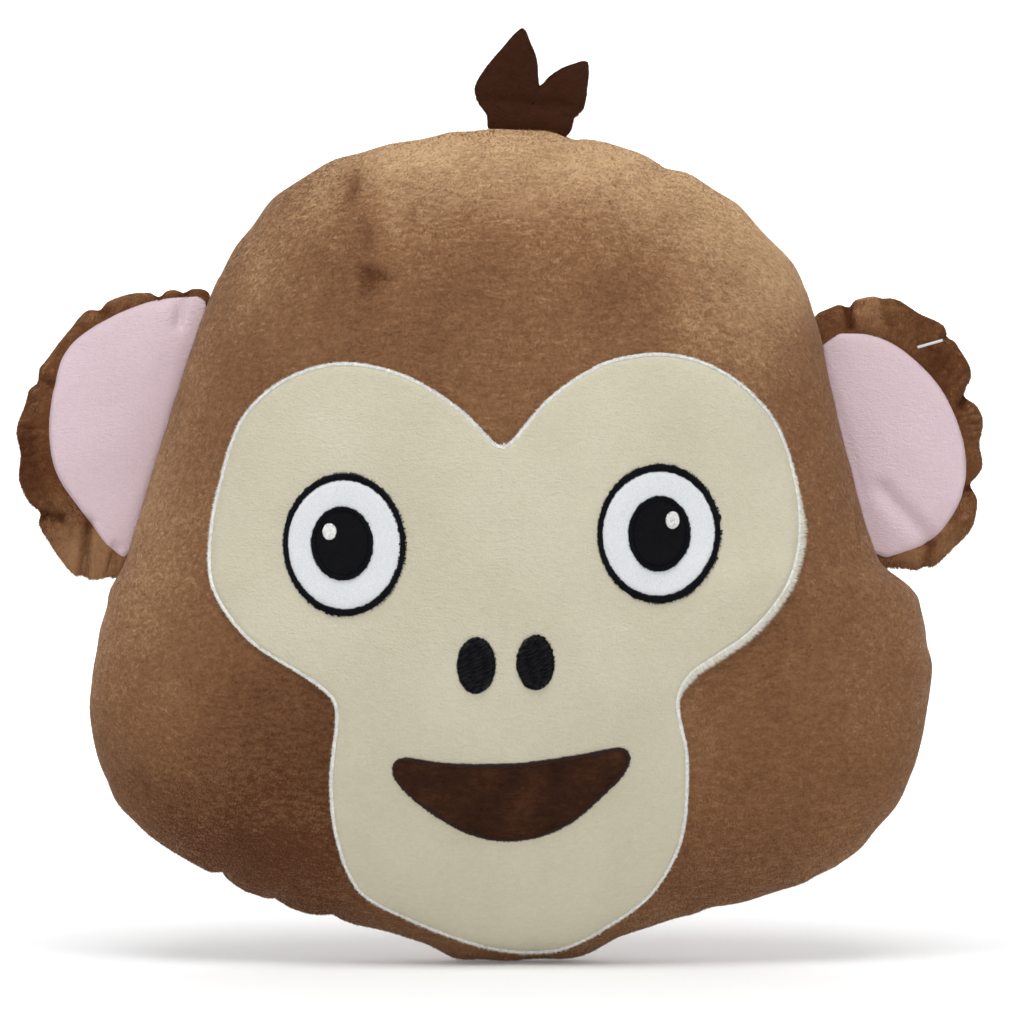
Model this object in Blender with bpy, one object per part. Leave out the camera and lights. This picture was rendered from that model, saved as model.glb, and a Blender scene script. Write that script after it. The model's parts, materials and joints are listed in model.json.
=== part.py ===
"""A monkey-face plush cushion, as it is sewn: one round head cushion, two ears and a hair tuft.

The cushion stands on its chin. Its face looks along -Y and +Z is up. The origin is under the chin, at the
middle of the box. Outlines are (x, z) points in millimetres, and left and right are the viewer's.
The head's two panels meet in the seam plane, a little behind the origin. Each ear and the tuft is held by
its root seam, which is the hinge that it flops about.
"""

import math

import bmesh
import bpy
import numpy as np
from mathutils import Vector

MM = 0.001

# Driving dimensions, in millimetres
SEAM_PLANE_Y = 1.5          # puts the box's middle at the origin, as the face stands proud of the front
HEAD_HALF_THICKNESS = 52.0
HEAD_CENTRE = (3.5, 145.0)
PANEL_THICKNESS = 2.4        # plush with its backing, at the middle of a panel
SEAM_EDGE = 1.6              # how far the panels' edges stand from the seam plane
SEAM_ALLOWANCE = 2.8         # width of a panel's edge, turned in along the seam
SEAM_DITCH = 1.45            # depth of the groove between the two panels
GAP = 0.3                    # between pieces that touch
CROWN_FLATNESS = 2.2         # powers of the head's profile, across the middle and up at the seam
CROWN_EDGE = 0.55
SHARP_ANGLE = 50             # degrees between faces that aren't shaded as one
FILLING_GAP = 1.5
PANEL_SHARES = (0.4, 0.68, 0.86, 0.95, 0.982, 1.0)   # rings on the outside of a panel, from its middle
LINING_SHARES = (0.45, 0.75, 0.93, 1.0)   # and on its inside
THREAD_RADIUS = 0.3
THREAD_SIDES = 5
THREAD_DEPTH = 0.35          # of the seam thread below the groove's mouth
LADDER_THREAD_RADIUS = 0.25
LADDER_STEPS = 4             # stitches on each span of the hand-sewn opening
LADDER_SWING = 0.12          # of its zigzag to each side of the seam plane
STITCH_WIDTH = 2.2           # satin stitch round the face panel
STITCH_SHOULDER = 0.6        # height of a satin stitch's shoulders, as a share of its crest's
SLOPE_REACH = 6.0            # the head's slope is read this far to each side of a point
FACE_SHARES = (0.33, 0.62, 0.84, 0.95, 1)   # rings of the face panel, from its middle
EYE_POINTS = 28
PUPIL_POINTS = 20
NOSTRIL_POINTS = 20
HIGHLIGHT_POINTS = 10

# Heights of the sewn-on pieces above the head's surface: (underside, top)
FACE_LAYER = (1.0, 2.2)
FACE_STITCH_LAYER = (1.0, 2.5)
PATCH_LAYER = (2.6, 3.4)
PATCH_STITCH_LAYER = (2.6, 3.7)
PUPIL_LAYER = (3.8, 4.6)
PUPIL_STITCH_LAYER = (3.8, 4.9)
HIGHLIGHT_LAYER = (5.3, 5.8)

EAR_PUFF = 8.0               # rise of an ear's padding above its edge
EAR_EDGE = 1.6
EAR_SKIN = 1.3
EAR_FLAT_ROOT = 6.0          # the padding is half as high this far from the root
EAR_ROUNDNESS = 0.6          # power of an ear's profile, up at its edge
EAR_SPOKES = 36
EAR_SHARES = (0.45, 0.75, 0.92, 1.0)   # rings of an ear's panel, from its middle
EAR_FILLING_SHARES = (0.45, 0.8)
EAR_FILLING_GAP = 0.4        # between an ear's skin and its filling
EAR_ROOT_POINTS = 24
RIM_CREST = 0.45             # where the rim's middle row lies, as a share of the rim's width
HINGE_CLEARANCE = 1.6        # from the head's seam to an ear's root seam
EAR_ROOT_GAP = 0.6           # from the root seam to the ear's own edge
EAR_ROOT_ENDS = (2.0, 103.0)
LEAST_RIM = 2.0

TUFT_CENTRE = (10.0, 309.0)
TUFT_ROOT = ((-3.0, 304.5), (24.0, 302.5))
TUFT_ROOT_GAP = 0.5          # from the root seam to the tuft's own edge
TUFT_LAYER = 1.2
TUFT_PUFF = 1.2
TUFT_SHARES = (0.6, 1.0)

TAG_BAR_LENGTH = 9.4
TAG_BAR_CENTRE = (155.2, 223.2)
TAG_BAR_TILT = math.radians(16)
TAG_BAR_RADIUS = 0.5
TAG_FILAMENT_RADIUS = 0.3
TAG_HOLE_RADIUS = 0.8
TAG_HOLE_RUN = 5.0           # of the hole's cutter past the tag on each side
TAG_OVERLAP = 0.5            # of the filament into the paddle
ROD_SIDES = 8
TAG_PADDLE = (6.0, 1.0, 3.0)

# The head's seam. It starts at one end of the hand-closed opening, and its last spans are that opening.
HEAD_OUTLINE = [
    (-108, 33.5), (-120, 38.5), (-129, 45.5), (-138, 54.5), (-144.5, 66), (-148.5, 81.5), (-149.5, 95),
    (-147, 114), (-142.5, 134.5), (-138, 141), (-130, 164.5), (-118, 203.5), (-106.5, 240), (-101.5, 250),
    (-87, 272), (-66, 288), (-37, 297), (0, 302), (30, 299), (57, 290.5), (81, 278.5), (100, 260),
    (111.2, 244.7), (118.5, 219), (123.5, 195.5), (128, 177), (132, 162), (137.5, 147), (140.9, 140),
    (147.5, 138), (152, 132.5), (156.5, 116), (157.5, 102), (154, 81), (146.5, 60), (130, 39.5),
    (108, 26.5), (77, 18), (52, 11), (30, 1.5), (15, -4.5), (2, -5), (-10, -3), (-24, 4), (-46, 11),
    (-70, 17), (-95, 26),
]
OPENING_SPANS = 3

# The face panel with its stitch: two lobes round the eyes, a waist at each cheek, and the muzzle.
FACE_CENTRE = (2.0, 116.0)
FACE_OUTLINE = [
    (86, 118), (101, 135), (106, 154), (104, 175), (96, 196), (80, 211), (60, 218), (37, 215), (18, 203),
    (8, 192), (1.5, 185.5), (-4.5, 189.5), (-13, 198), (-32, 210), (-55, 215), (-76, 209), (-91, 195),
    (-98, 175), (-102, 155), (-101, 135), (-88, 117), (-70, 105.5), (-58.5, 96), (-58.5, 82), (-60, 65),
    (-57.5, 45), (-50, 28), (-34, 18.5), (-17, 11.5), (2, 6), (21, 6.5), (39, 15.5), (54, 27), (64, 45),
    (66.5, 63), (66, 80), (63, 95), (68, 106),
]

# Eyes: (centre, half width, half height) of the white and of its outline stitch, the pupil and the highlight.
EYES = {
    "left": {
        "white": ((-53.9, 150.9), 19.3, 22.3),
        "outline": ((-53.9, 150.9), 21.4, 25.1),
        "pupil": ((-54.3, 151.1), 9.0, 11.3),
        "pupil_stitch": ((-54.3, 151.1), 10.7, 13.0),
        "highlight": ((-58.3, 155.1), 2.6, 3.1),
    },
    "right": {
        "white": ((55.2, 154.8), 19.3, 21.6),
        "outline": ((55.4, 154.8), 21.5, 24.5),
        "pupil": ((55.1, 154.5), 9.0, 11.6),
        "pupil_stitch": ((55.1, 154.5), 10.7, 13.3),
        "highlight": ((59.2, 159.3), 2.5, 3.2),
    },
}
NOSTRILS = {
    "left": ((-8.0, 109.1), 6.7, 9.7),
    "right": ((12.5, 110.1), 6.5, 9.6),
}

MOUTH_CENTRE = (4.0, 64.0)
MOUTH_STITCH_WIDTH = 1.8
MOUTH_OUTLINE = [
    (-37.5, 73.5), (-33.5, 76.8), (-22, 75.2), (-6, 74.5), (10, 75.2), (26, 77.5), (39.5, 80.2),
    (44, 79.8), (45.7, 76.5), (43.5, 71), (36, 63.3), (25, 54), (14, 49), (4.5, 47.4), (-5, 48.2),
    (-15, 52), (-26, 58.8), (-35, 67),
]

# Ears: the two ends of the root on the head's seam, the ear's middle, its outline from the root's upper
# end round to the lower end, and the inner panel's outline likewise.
EARS = {
    "left": {
        "root": ((-106.5, 240.0), (-138.0, 141.0)),
        "centre": (-142.0, 190.0),
        "outline": [
            (-110.5, 245.8), (-121, 243.2), (-129, 243.4), (-139, 239.5), (-149, 236.5), (-157, 227),
            (-166.5, 214.5), (-173.2, 202), (-175, 190), (-173, 169), (-166.5, 156.5), (-159, 144),
            (-150, 135.6), (-143.8, 137.5),
        ],
        "inner": [
            (-114.5, 241.6), (-124, 239.8), (-134, 236.6), (-144, 231.8), (-152, 226.5), (-158, 220),
            (-161.5, 208), (-163.3, 195), (-162.5, 183), (-159.5, 174), (-153.5, 165.5), (-147, 159.5),
        ],
    },
    "right": {
        "root": ((111.2, 244.7), (140.9, 140.0)),
        "centre": (145.0, 191.0),
        "outline": [
            (119, 236.2), (125.5, 240.3), (138, 241.8), (149, 237), (161, 230), (168, 221.5), (170.4, 209),
            (173.8, 200), (175, 190), (173.2, 172), (171, 158), (163.5, 146.5), (154, 141.2), (147.5, 142.6),
        ],
        "inner": [
            (120, 226.6), (130, 227.6), (141, 224.4), (151, 217), (159.5, 207.5), (165, 197), (168.6, 185),
            (168.6, 172), (164.5, 162), (158, 153.5), (152, 149.6),
        ],
    },
}

# The tuft's outline from the left end of its root, over the two lobes, to the right end.
TUFT_OUTLINE = [
    (-7, 309.5), (-9.2, 316), (-5.5, 323), (1, 330.8), (8, 338), (10.8, 333), (13.5, 326), (14.2, 317),
    (17.5, 320), (22, 323), (27, 325), (32, 325.5), (31.6, 316), (30, 308.5),
]

BROWN = (0.268, 0.140, 0.075)
DARK_BROWN = (0.040, 0.013, 0.006)
MOUTH_BROWN = (0.029, 0.011, 0.005)
EAR_BROWN = (0.170, 0.075, 0.036)
BEIGE = (0.610, 0.570, 0.450)
PINK = (0.685, 0.532, 0.578)
WHITE = (0.760, 0.780, 0.800)
BLACK = (0.005, 0.005, 0.006)
FIBRE = (0.850, 0.850, 0.830)


def fabric(name, colour, roughness=0.9):
    material = bpy.data.materials.new(name)
    material.use_nodes = True
    shader = material.node_tree.nodes["Principled BSDF"]
    shader.inputs["Base Color"].default_value = (*colour, 1.0)
    shader.inputs["Roughness"].default_value = roughness
    shader.inputs["Metallic"].default_value = 0.0
    material.diffuse_color = (*colour, 1.0)
    return material


def smooth(points, steps=2, closed=True):
    """Catmull-Rom curve through the points, with this many samples on each span."""
    points = np.array(points, float)
    if closed:
        here, ahead = points, np.roll(points, -1, axis=0)
        behind, beyond = np.roll(points, 1, axis=0), np.roll(points, -2, axis=0)
    else:
        here, ahead = points[:-1], points[1:]
        behind, beyond = np.array([points[0], *points[:-2]]), np.array([*points[2:], points[-1]])
    samples = []
    for step in range(steps):
        t = step / steps
        samples.append(
            0.5 * (2 * here + (ahead - behind) * t
                   + (2 * behind - 5 * here + 4 * ahead - beyond) * t ** 2
                   + (3 * here - behind - 3 * ahead + beyond) * t ** 3))
    return np.stack(samples, axis=1).reshape(-1, 2)


def ellipse(centre, half_width, half_height, count):
    turn = np.arange(count) * 2 * math.pi / count
    return np.stack([centre[0] + half_width * np.cos(turn), centre[1] + half_height * np.sin(turn)], axis=1)


def grown(outline, distance):
    """The closed outline moved outwards by a distance, or inwards by a negative one."""
    along = np.roll(outline, -1, axis=0) - np.roll(outline, 1, axis=0)
    normal = np.stack([along[:, 1], -along[:, 0]], axis=1)
    normal /= np.linalg.norm(normal, axis=1)[:, None]
    centre = outline.mean(axis=0)
    if ((outline - centre) * normal).sum() < 0:
        normal = -normal
    return outline + normal * distance


def drawn_in(outline, centre, distance):
    """The outline moved straight towards the centre by a distance."""
    spoke = outline - centre
    length = np.linalg.norm(spoke, axis=1)[:, None]
    return centre + spoke * (1 - distance / length)


class Reach:
    """How far a closed outline is from its centre, in each direction."""

    def __init__(self, outline, centre):
        self.centre = np.array(centre, float)
        spoke = outline - self.centre
        turn = np.arctan2(spoke[:, 1], spoke[:, 0])
        order = np.argsort(turn)
        self.turn, self.length = turn[order], np.linalg.norm(spoke, axis=1)[order]

    def at(self, turn):
        return np.interp(turn, self.turn, self.length, period=2 * math.pi)

    def share(self, points):
        """0 at the centre and 1 on the outline."""
        spoke = np.asarray(points, float) - self.centre
        return np.linalg.norm(spoke, axis=-1) / self.at(np.arctan2(spoke[..., 1], spoke[..., 0]))


def crown(share):
    """Profile of a stuffed cushion, from 1 at its middle to 0 at its seam, where it stands upright."""
    return np.clip(1 - np.asarray(share, float) ** CROWN_FLATNESS, 0, None) ** CROWN_EDGE


def in_space(outline, y):
    """Outline points as (x, y, z), with y measured from the seam plane."""
    height = np.broadcast_to(np.asarray(y, float), (len(outline),))
    return np.stack([outline[:, 0], height + SEAM_PLANE_Y, outline[:, 1]], axis=1)


def finished(name, mesh_build, material, parent=None):
    """The named object of a closed bmesh in millimetres. A parent empty sits on the object's hinge."""
    bmesh.ops.recalc_face_normals(mesh_build, faces=mesh_build.faces)
    start = parent.location if parent else Vector()
    for vertex in mesh_build.verts:
        vertex.co = vertex.co * MM - start
    mesh = bpy.data.meshes.new(name)
    mesh_build.to_mesh(mesh)
    mesh_build.free()
    mesh.materials.append(material)
    mesh.shade_smooth()
    mesh.set_sharp_from_angle(angle=math.radians(SHARP_ANGLE))
    made = bpy.data.objects.new(name, mesh)
    made.parent = parent
    bpy.context.scene.collection.objects.link(made)
    return made


def shell(name, first_pole, rings, last_pole, material, parent=None):
    """A closed body: a fan from a pole, bands between the rings, and a fan to the other pole."""
    build = bmesh.new()
    rows = [[build.verts.new(point) for point in ring] for ring in rings]
    count = len(rows[0])
    for row, near in zip(rows, rows[1:]):
        for k in range(count):
            build.faces.new((row[k], row[(k + 1) % count], near[(k + 1) % count], near[k]))
    for pole, row in ((first_pole, rows[0]), (last_pole, rows[-1])):
        tip = build.verts.new(pole)
        for k in range(count):
            build.faces.new((tip, row[k], row[(k + 1) % count]))
    return finished(name, build, material, parent)


def swept(name, sections, material, closed=True, parent=None):
    """A closed body along a row of like-sided sections, joined end to end or capped."""
    build = bmesh.new()
    rows = [[build.verts.new(point) for point in section] for section in sections]
    sides = len(rows[0])
    pairs = list(zip(rows, rows[1:] + rows[:1]))
    if not closed:
        pairs.pop()
        build.faces.new(rows[0])
        build.faces.new(rows[-1])
    for row, near in pairs:
        for k in range(sides):
            build.faces.new((row[k], row[(k + 1) % sides], near[(k + 1) % sides], near[k]))
    return finished(name, build, material, parent)


def tube_sections(route, radius, sides, closed):
    """Round sections square to a route."""
    if closed:
        along = np.roll(route, -1, axis=0) - np.roll(route, 1, axis=0)
    else:
        along = np.gradient(route, axis=0)
    sections = []
    for point, direction in zip(route, along):
        direction = Vector(direction).normalized()
        across = direction.cross(Vector((0, 1, 0))).normalized()
        up = across.cross(direction)
        section = []
        for k in range(sides):
            turn = 2 * math.pi * k / sides
            offset = across * math.cos(turn) + up * math.sin(turn)
            section.append(Vector(point) + offset * radius)
        sections.append(section)
    return sections


HEAD_SEAM = smooth(HEAD_OUTLINE)
HEAD_SEAM_PRESSED = np.stack([HEAD_SEAM[:, 0], np.maximum(HEAD_SEAM[:, 1], 0)], axis=1)
HEAD_REACH = Reach(smooth(HEAD_OUTLINE, 8), HEAD_CENTRE)


def head_height(points):
    """Height of the head's surface above the seam plane."""
    rise = HEAD_HALF_THICKNESS - SEAM_EDGE
    return SEAM_EDGE + rise * crown(HEAD_REACH.share(points))


def on_face(outline, lift):
    """Points on the front of the head over the outline, raised square to its surface."""
    step = SLOPE_REACH
    flat = np.asarray(outline, float)
    slope_x = (head_height(flat + (step, 0)) - head_height(flat - (step, 0))) / (2 * step)
    slope_z = (head_height(flat + (0, step)) - head_height(flat - (0, step))) / (2 * step)
    normal = np.stack([-slope_x, -np.ones(len(flat)), -slope_z], axis=1)
    normal /= np.linalg.norm(normal, axis=1)[:, None]
    return in_space(flat, -head_height(flat)) + normal * lift


def head_panel(name, side, material):
    """One side's skin. Its chin is pressed flat where the cushion stands, and its edge turns in at the seam."""
    centre = np.array(HEAD_CENTRE)
    rings = []
    for share in PANEL_SHARES:
        ring = centre + (HEAD_SEAM - centre) * share
        height = SEAM_EDGE + (HEAD_HALF_THICKNESS - SEAM_EDGE) * crown(share)
        ring[:, 1] = np.maximum(ring[:, 1], 0)
        rings.append(in_space(ring, side * height))
    ditch = drawn_in(HEAD_SEAM_PRESSED, centre, SEAM_DITCH)
    rings.append(in_space(ditch, side * GAP / 2))
    inner = drawn_in(HEAD_SEAM_PRESSED, centre, SEAM_ALLOWANCE)
    inner_rise = HEAD_HALF_THICKNESS - PANEL_THICKNESS - GAP / 2
    for share in reversed(LINING_SHARES):
        ring = centre + (inner - centre) * share
        rings.append(in_space(ring, side * (GAP / 2 + inner_rise * crown(share))))
    outside = (centre[0], SEAM_PLANE_Y + side * HEAD_HALF_THICKNESS, centre[1])
    inside = (centre[0], SEAM_PLANE_Y + side * (GAP / 2 + inner_rise), centre[1])
    return shell(name, outside, rings, inside, material)


def head_filling(material):
    """The fibre filling: a lens a little smaller than the space between the two panels."""
    centre = np.array(HEAD_CENTRE)
    outline = drawn_in(HEAD_SEAM_PRESSED, centre, SEAM_ALLOWANCE + FILLING_GAP)[::2]
    rise = HEAD_HALF_THICKNESS - PANEL_THICKNESS - FILLING_GAP
    shares = LINING_SHARES[:-1]
    rings = [in_space(centre + (outline - centre) * share, -rise * crown(share)) for share in shares]
    rings += [in_space(centre + (outline - centre) * share, rise * crown(share)) for share in reversed(shares)]
    front = (centre[0], SEAM_PLANE_Y - rise, centre[1])
    back = (centre[0], SEAM_PLANE_Y + rise, centre[1])
    return shell("head_filling", front, rings, back, material)


def seam_threads(thread, ladder_thread):
    """The machine seam round most of the head, and the hand-sewn zigzag that closes the opening."""
    groove = drawn_in(HEAD_SEAM_PRESSED, np.array(HEAD_CENTRE), THREAD_DEPTH)
    opening = 2 * OPENING_SPANS
    machine = in_space(groove[:len(groove) - opening], 0)
    swept("head_seam_thread", tube_sections(machine, THREAD_RADIUS, THREAD_SIDES, False), thread, closed=False)
    by_hand = np.array([*groove[len(groove) - opening + 1:], groove[0]])[:-1]
    finer = []
    for here, there in zip(by_hand, by_hand[1:]):
        finer.extend(here + (there - here) * k / LADDER_STEPS for k in range(LADDER_STEPS))
    swing = LADDER_SWING * np.where(np.arange(len(finer)) % 2, 1, -1)
    ladder = in_space(np.array(finer), swing)
    sections = tube_sections(ladder, LADDER_THREAD_RADIUS, THREAD_SIDES, False)
    swept("closing_ladder_thread", sections, ladder_thread, closed=False)


def face_patch(name, outline, centre, layer, shares, material):
    """A thin patch that follows the front of the head."""
    centre = np.array(centre)
    underside, top = layer
    rings = [on_face(centre + (outline - centre) * share, top) for share in shares]
    rings += [on_face(centre + (outline - centre) * share, underside) for share in reversed(shares)]
    poles = [on_face(centre[None], lift)[0] for lift in (top, underside)]
    return shell(name, poles[0], rings, poles[1], material)


def face_stitch(name, inner, outer, layer, material):
    """A satin-stitched edge: a low rounded band between two outlines."""
    underside, top = layer
    middle = (inner + outer) / 2
    shoulder = underside + STITCH_SHOULDER * (top - underside)
    rows = [(inner, underside), (inner, shoulder), (middle, top), (outer, shoulder), (outer, underside)]
    sections = np.stack([on_face(outline, lift) for outline, lift in rows], axis=1)
    return swept(name, sections, material)


def face(materials):
    outline = smooth(FACE_OUTLINE)
    panel = grown(outline, -STITCH_WIDTH - GAP)
    face_patch("face_panel", panel, FACE_CENTRE, FACE_LAYER, FACE_SHARES, materials["face"])
    inner = grown(outline, -STITCH_WIDTH)
    face_stitch("face_border_stitch", inner, outline, FACE_STITCH_LAYER, materials["border"])


def eye(side, sizes, materials):
    white, outline, pupil, pupil_stitch, highlight = (
        sizes[piece] for piece in ("white", "outline", "pupil", "pupil_stitch", "highlight"))
    white_edge = ellipse(*white, EYE_POINTS)
    pupil_edge = ellipse(*pupil, PUPIL_POINTS)
    face_patch(f"{side}_eye_white", white_edge, white[0], PATCH_LAYER, (0.5, 1), materials["white"])
    face_stitch(f"{side}_eye_outline", grown(white_edge, GAP), ellipse(*outline, EYE_POINTS),
                PATCH_STITCH_LAYER, materials["black"])
    face_patch(f"{side}_pupil", pupil_edge, pupil[0], PUPIL_LAYER, (1,), materials["pupil"])
    face_stitch(f"{side}_pupil_stitch", grown(pupil_edge, GAP), ellipse(*pupil_stitch, PUPIL_POINTS),
                PUPIL_STITCH_LAYER, materials["black"])
    face_patch(f"{side}_eye_highlight", ellipse(*highlight, HIGHLIGHT_POINTS), highlight[0],
               HIGHLIGHT_LAYER, (1,), materials["highlight"])


def mouth(materials):
    outline = smooth(MOUTH_OUTLINE)
    panel = grown(outline, -MOUTH_STITCH_WIDTH - GAP)
    face_patch("mouth_panel", panel, MOUTH_CENTRE, PATCH_LAYER, (0.55, 1), materials["mouth"])
    face_stitch("mouth_border_stitch", grown(outline, -MOUTH_STITCH_WIDTH), outline, PATCH_STITCH_LAYER,
                materials["mouth_border"])


class Ear:
    """An ear's outlines, its hinge on the root seam, and the height of its padding."""

    def __init__(self, side, sizes):
        self.side = side
        top, bottom = (np.array(end) for end in sizes["root"])
        self.centre = np.array(sizes["centre"])
        self.down = (bottom - top) / np.linalg.norm(bottom - top)
        self.out = np.array([-self.down[1], self.down[0]])
        if self.out @ (self.centre - top) < 0:
            self.out = -self.out
        self.root_top = top + self.out * HINGE_CLEARANCE
        ends = [top + self.down * end + self.out * (HINGE_CLEARANCE + EAR_ROOT_GAP) for end in EAR_ROOT_ENDS]
        turn = np.arange(EAR_SPOKES) * 2 * math.pi / EAR_SPOKES
        self.spokes = np.stack([np.cos(turn), np.sin(turn)], axis=1)
        self.reach = Reach(self.closed(sizes["outline"], ends), self.centre)
        self.edge = self.reach.at(turn)
        self.inner = np.minimum(Reach(self.closed(sizes["inner"], ends), self.centre).at(turn), self.edge)

    def closed(self, bend, ends):
        """A smooth bend from the root's upper end to its lower end, closed by the straight root."""
        curve = smooth([ends[0], *bend, ends[1]], 6, closed=False)
        root = [ends[1] + (ends[0] - ends[1]) * k / EAR_ROOT_POINTS for k in range(EAR_ROOT_POINTS)]
        return np.array([*curve, *root])

    def rise(self, points):
        """Height of the ear's surface above the seam plane. It is thin along the root, where it bends."""
        from_root = np.clip((points - self.root_top) @ self.out - EAR_ROOT_GAP, 0, None)
        padding = np.clip(1 - self.reach.share(points) ** 2, 0, None) ** EAR_ROUNDNESS
        return EAR_EDGE + EAR_PUFF * padding * from_root / (from_root + EAR_FLAT_ROOT)

    def ring(self, reach, side, sink=0.0, which=slice(None)):
        """Points at a reach from the middle, on the front (-1) or back (1), sunk below the surface."""
        points = self.centre + self.spokes[which] * reach[which, None]
        return in_space(points, side * (self.rise(points) - sink))

    def pole(self, side, sink=0.0):
        return in_space(self.centre[None], side * (self.rise(self.centre[None]) - sink))[0]

    def skin(self, name, side, reach, material, hinge):
        """A panel from the middle out to a reach, of one thickness."""
        rings = [self.ring(reach * share, side) for share in EAR_SHARES]
        rings += [self.ring(reach * share, side, EAR_SKIN) for share in reversed(EAR_SHARES)]
        return shell(name, self.pole(side), rings, self.pole(side, EAR_SKIN), material, hinge)

    def rim(self, material, hinge):
        """The brown band round the inner panel, open at the root."""
        wide = self.edge - self.inner > LEAST_RIM
        first = next(k for k in range(EAR_SPOKES) if wide[k] and not wide[k - 1])
        band = np.array([(first + k) % EAR_SPOKES for k in range(int(wide.sum()))])
        near = self.inner + GAP / 2
        middle = near + RIM_CREST * (self.edge - near)
        rows = [self.ring(reach, -1, sink, band)
                for sink, reaches in ((0.0, (near, middle, self.edge)), (EAR_SKIN, (self.edge, middle, near)))
                for reach in reaches]
        return swept(f"{self.side}_ear_front_rim", np.stack(rows, axis=1), material, False, hinge)

    def filling(self, material, hinge):
        sink = EAR_SKIN + EAR_FILLING_GAP
        rings = [self.ring(self.edge * share, -1, sink) for share in EAR_FILLING_SHARES]
        rings += [self.ring(self.edge * share, 1, sink) for share in reversed(EAR_FILLING_SHARES)]
        return shell(f"{self.side}_ear_filling", self.pole(-1, sink), rings, self.pole(1, sink), material, hinge)


def hinge_empty(name, x, z):
    empty = bpy.data.objects.new(name, None)
    empty.location = Vector((x, SEAM_PLANE_Y, z)) * MM
    bpy.context.scene.collection.objects.link(empty)
    return empty


def ear_pieces(side, sizes, materials):
    ear = Ear(side, sizes)
    hinge = hinge_empty(f"{side}_ear_root", *ear.root_top)
    rim = ear.rim(materials["ear"], hinge)
    ear.skin(f"{side}_ear_inner", -1, ear.inner - GAP / 2, materials["pink"], hinge)
    back = ear.skin(f"{side}_ear_back", 1, ear.edge, materials["ear_back"], hinge)
    filling = ear.filling(materials["filling"], hinge)
    return ear, hinge, (rim, back, filling)


def tuft(materials):
    """Two layers of plush with one outline, puffed a little, standing on their root seam."""
    (left_x, left_z), (right_x, right_z) = TUFT_ROOT
    hinge = hinge_empty("tuft_root", left_x, left_z)
    ends = (left_x, left_z + TUFT_ROOT_GAP), (right_x, right_z + TUFT_ROOT_GAP)
    curve = np.array([*smooth([ends[0], *TUFT_OUTLINE, ends[1]], closed=False), ends[1]])
    centre = np.array(TUFT_CENTRE)
    for name, side, material in (("tuft_front", -1, "tuft"), ("tuft_back", 1, "tuft_back")):
        rings = []
        for share in TUFT_SHARES:
            height = GAP / 2 + TUFT_LAYER + TUFT_PUFF * (1 - share ** 2)
            rings.append(in_space(centre + (curve - centre) * share, side * height))
        rings.append(in_space(curve, side * GAP / 2))
        top = (centre[0], SEAM_PLANE_Y + side * (GAP / 2 + TUFT_LAYER + TUFT_PUFF), centre[1])
        under = (centre[0], SEAM_PLANE_Y + side * GAP / 2, centre[1])
        shell(name, top, rings, under, materials[material], hinge)


def rod(name, start, end, radius, sides):
    """A capped round rod as a bmesh in millimetres."""
    along = np.array(end, float) - np.array(start, float)
    turn = Vector((0, 0, 1)).rotation_difference(Vector(along)).to_matrix()
    build = bmesh.new()
    bmesh.ops.create_cone(build, cap_ends=True, segments=sides, radius1=radius, radius2=radius,
                          depth=float(np.linalg.norm(along)))
    for vertex in build.verts:
        vertex.co = turn @ vertex.co + (Vector(start) + Vector(end)) / 2
    return build


def boolean(target, operation, other):
    modifier = target.modifiers.new(f"{operation.lower()}_{other.name}", "BOOLEAN")
    modifier.operation = operation
    modifier.object = other
    other.hide_render = True
    other.display_type = "WIRE"


def tag_fastener(ear, hinge, pierced, materials):
    """The plastic pin left by a swing tag: a bar on the ear's rim, a filament through it, a paddle behind."""
    x, z = TAG_BAR_CENTRE
    reach = TAG_BAR_LENGTH / 2
    run, climb = reach * math.cos(TAG_BAR_TILT), reach * math.sin(TAG_BAR_TILT)
    highest = float(ear.rise(np.array([(x - run, z - climb), (x, z), (x + run, z + climb)])).max())
    front_y = SEAM_PLANE_Y - highest - GAP - TAG_BAR_RADIUS
    back_y = SEAM_PLANE_Y + highest + 2 * GAP
    bar = finished("tag_fastener", rod("bar", (x - run, front_y, z - climb), (x + run, front_y, z + climb),
                                       TAG_BAR_RADIUS, ROD_SIDES), materials["tag"], hinge)
    filament = finished("tag_filament", rod("filament", (x, front_y, z), (x, back_y + TAG_OVERLAP, z),
                                            TAG_FILAMENT_RADIUS, ROD_SIDES), materials["tag"], hinge)
    width, depth, height = TAG_PADDLE
    build = bmesh.new()
    bmesh.ops.create_cube(build, size=1.0)
    bmesh.ops.scale(build, vec=(width, depth, height), verts=build.verts)
    bmesh.ops.translate(build, vec=(x, back_y + depth / 2, z), verts=build.verts)
    paddle = finished("tag_paddle", build, materials["tag"], hinge)
    boolean(bar, "UNION", filament)
    boolean(bar, "UNION", paddle)
    cutter = finished("tag_hole", rod("hole", (x, front_y - TAG_HOLE_RUN, z), (x, back_y + TAG_HOLE_RUN, z),
                                      TAG_HOLE_RADIUS, ROD_SIDES), materials["tag"], hinge)
    for piece in pierced:
        boolean(piece, "DIFFERENCE", cutter)


def clear_scene():
    for thing in list(bpy.data.objects):
        bpy.data.objects.remove(thing, do_unlink=True)


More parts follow.
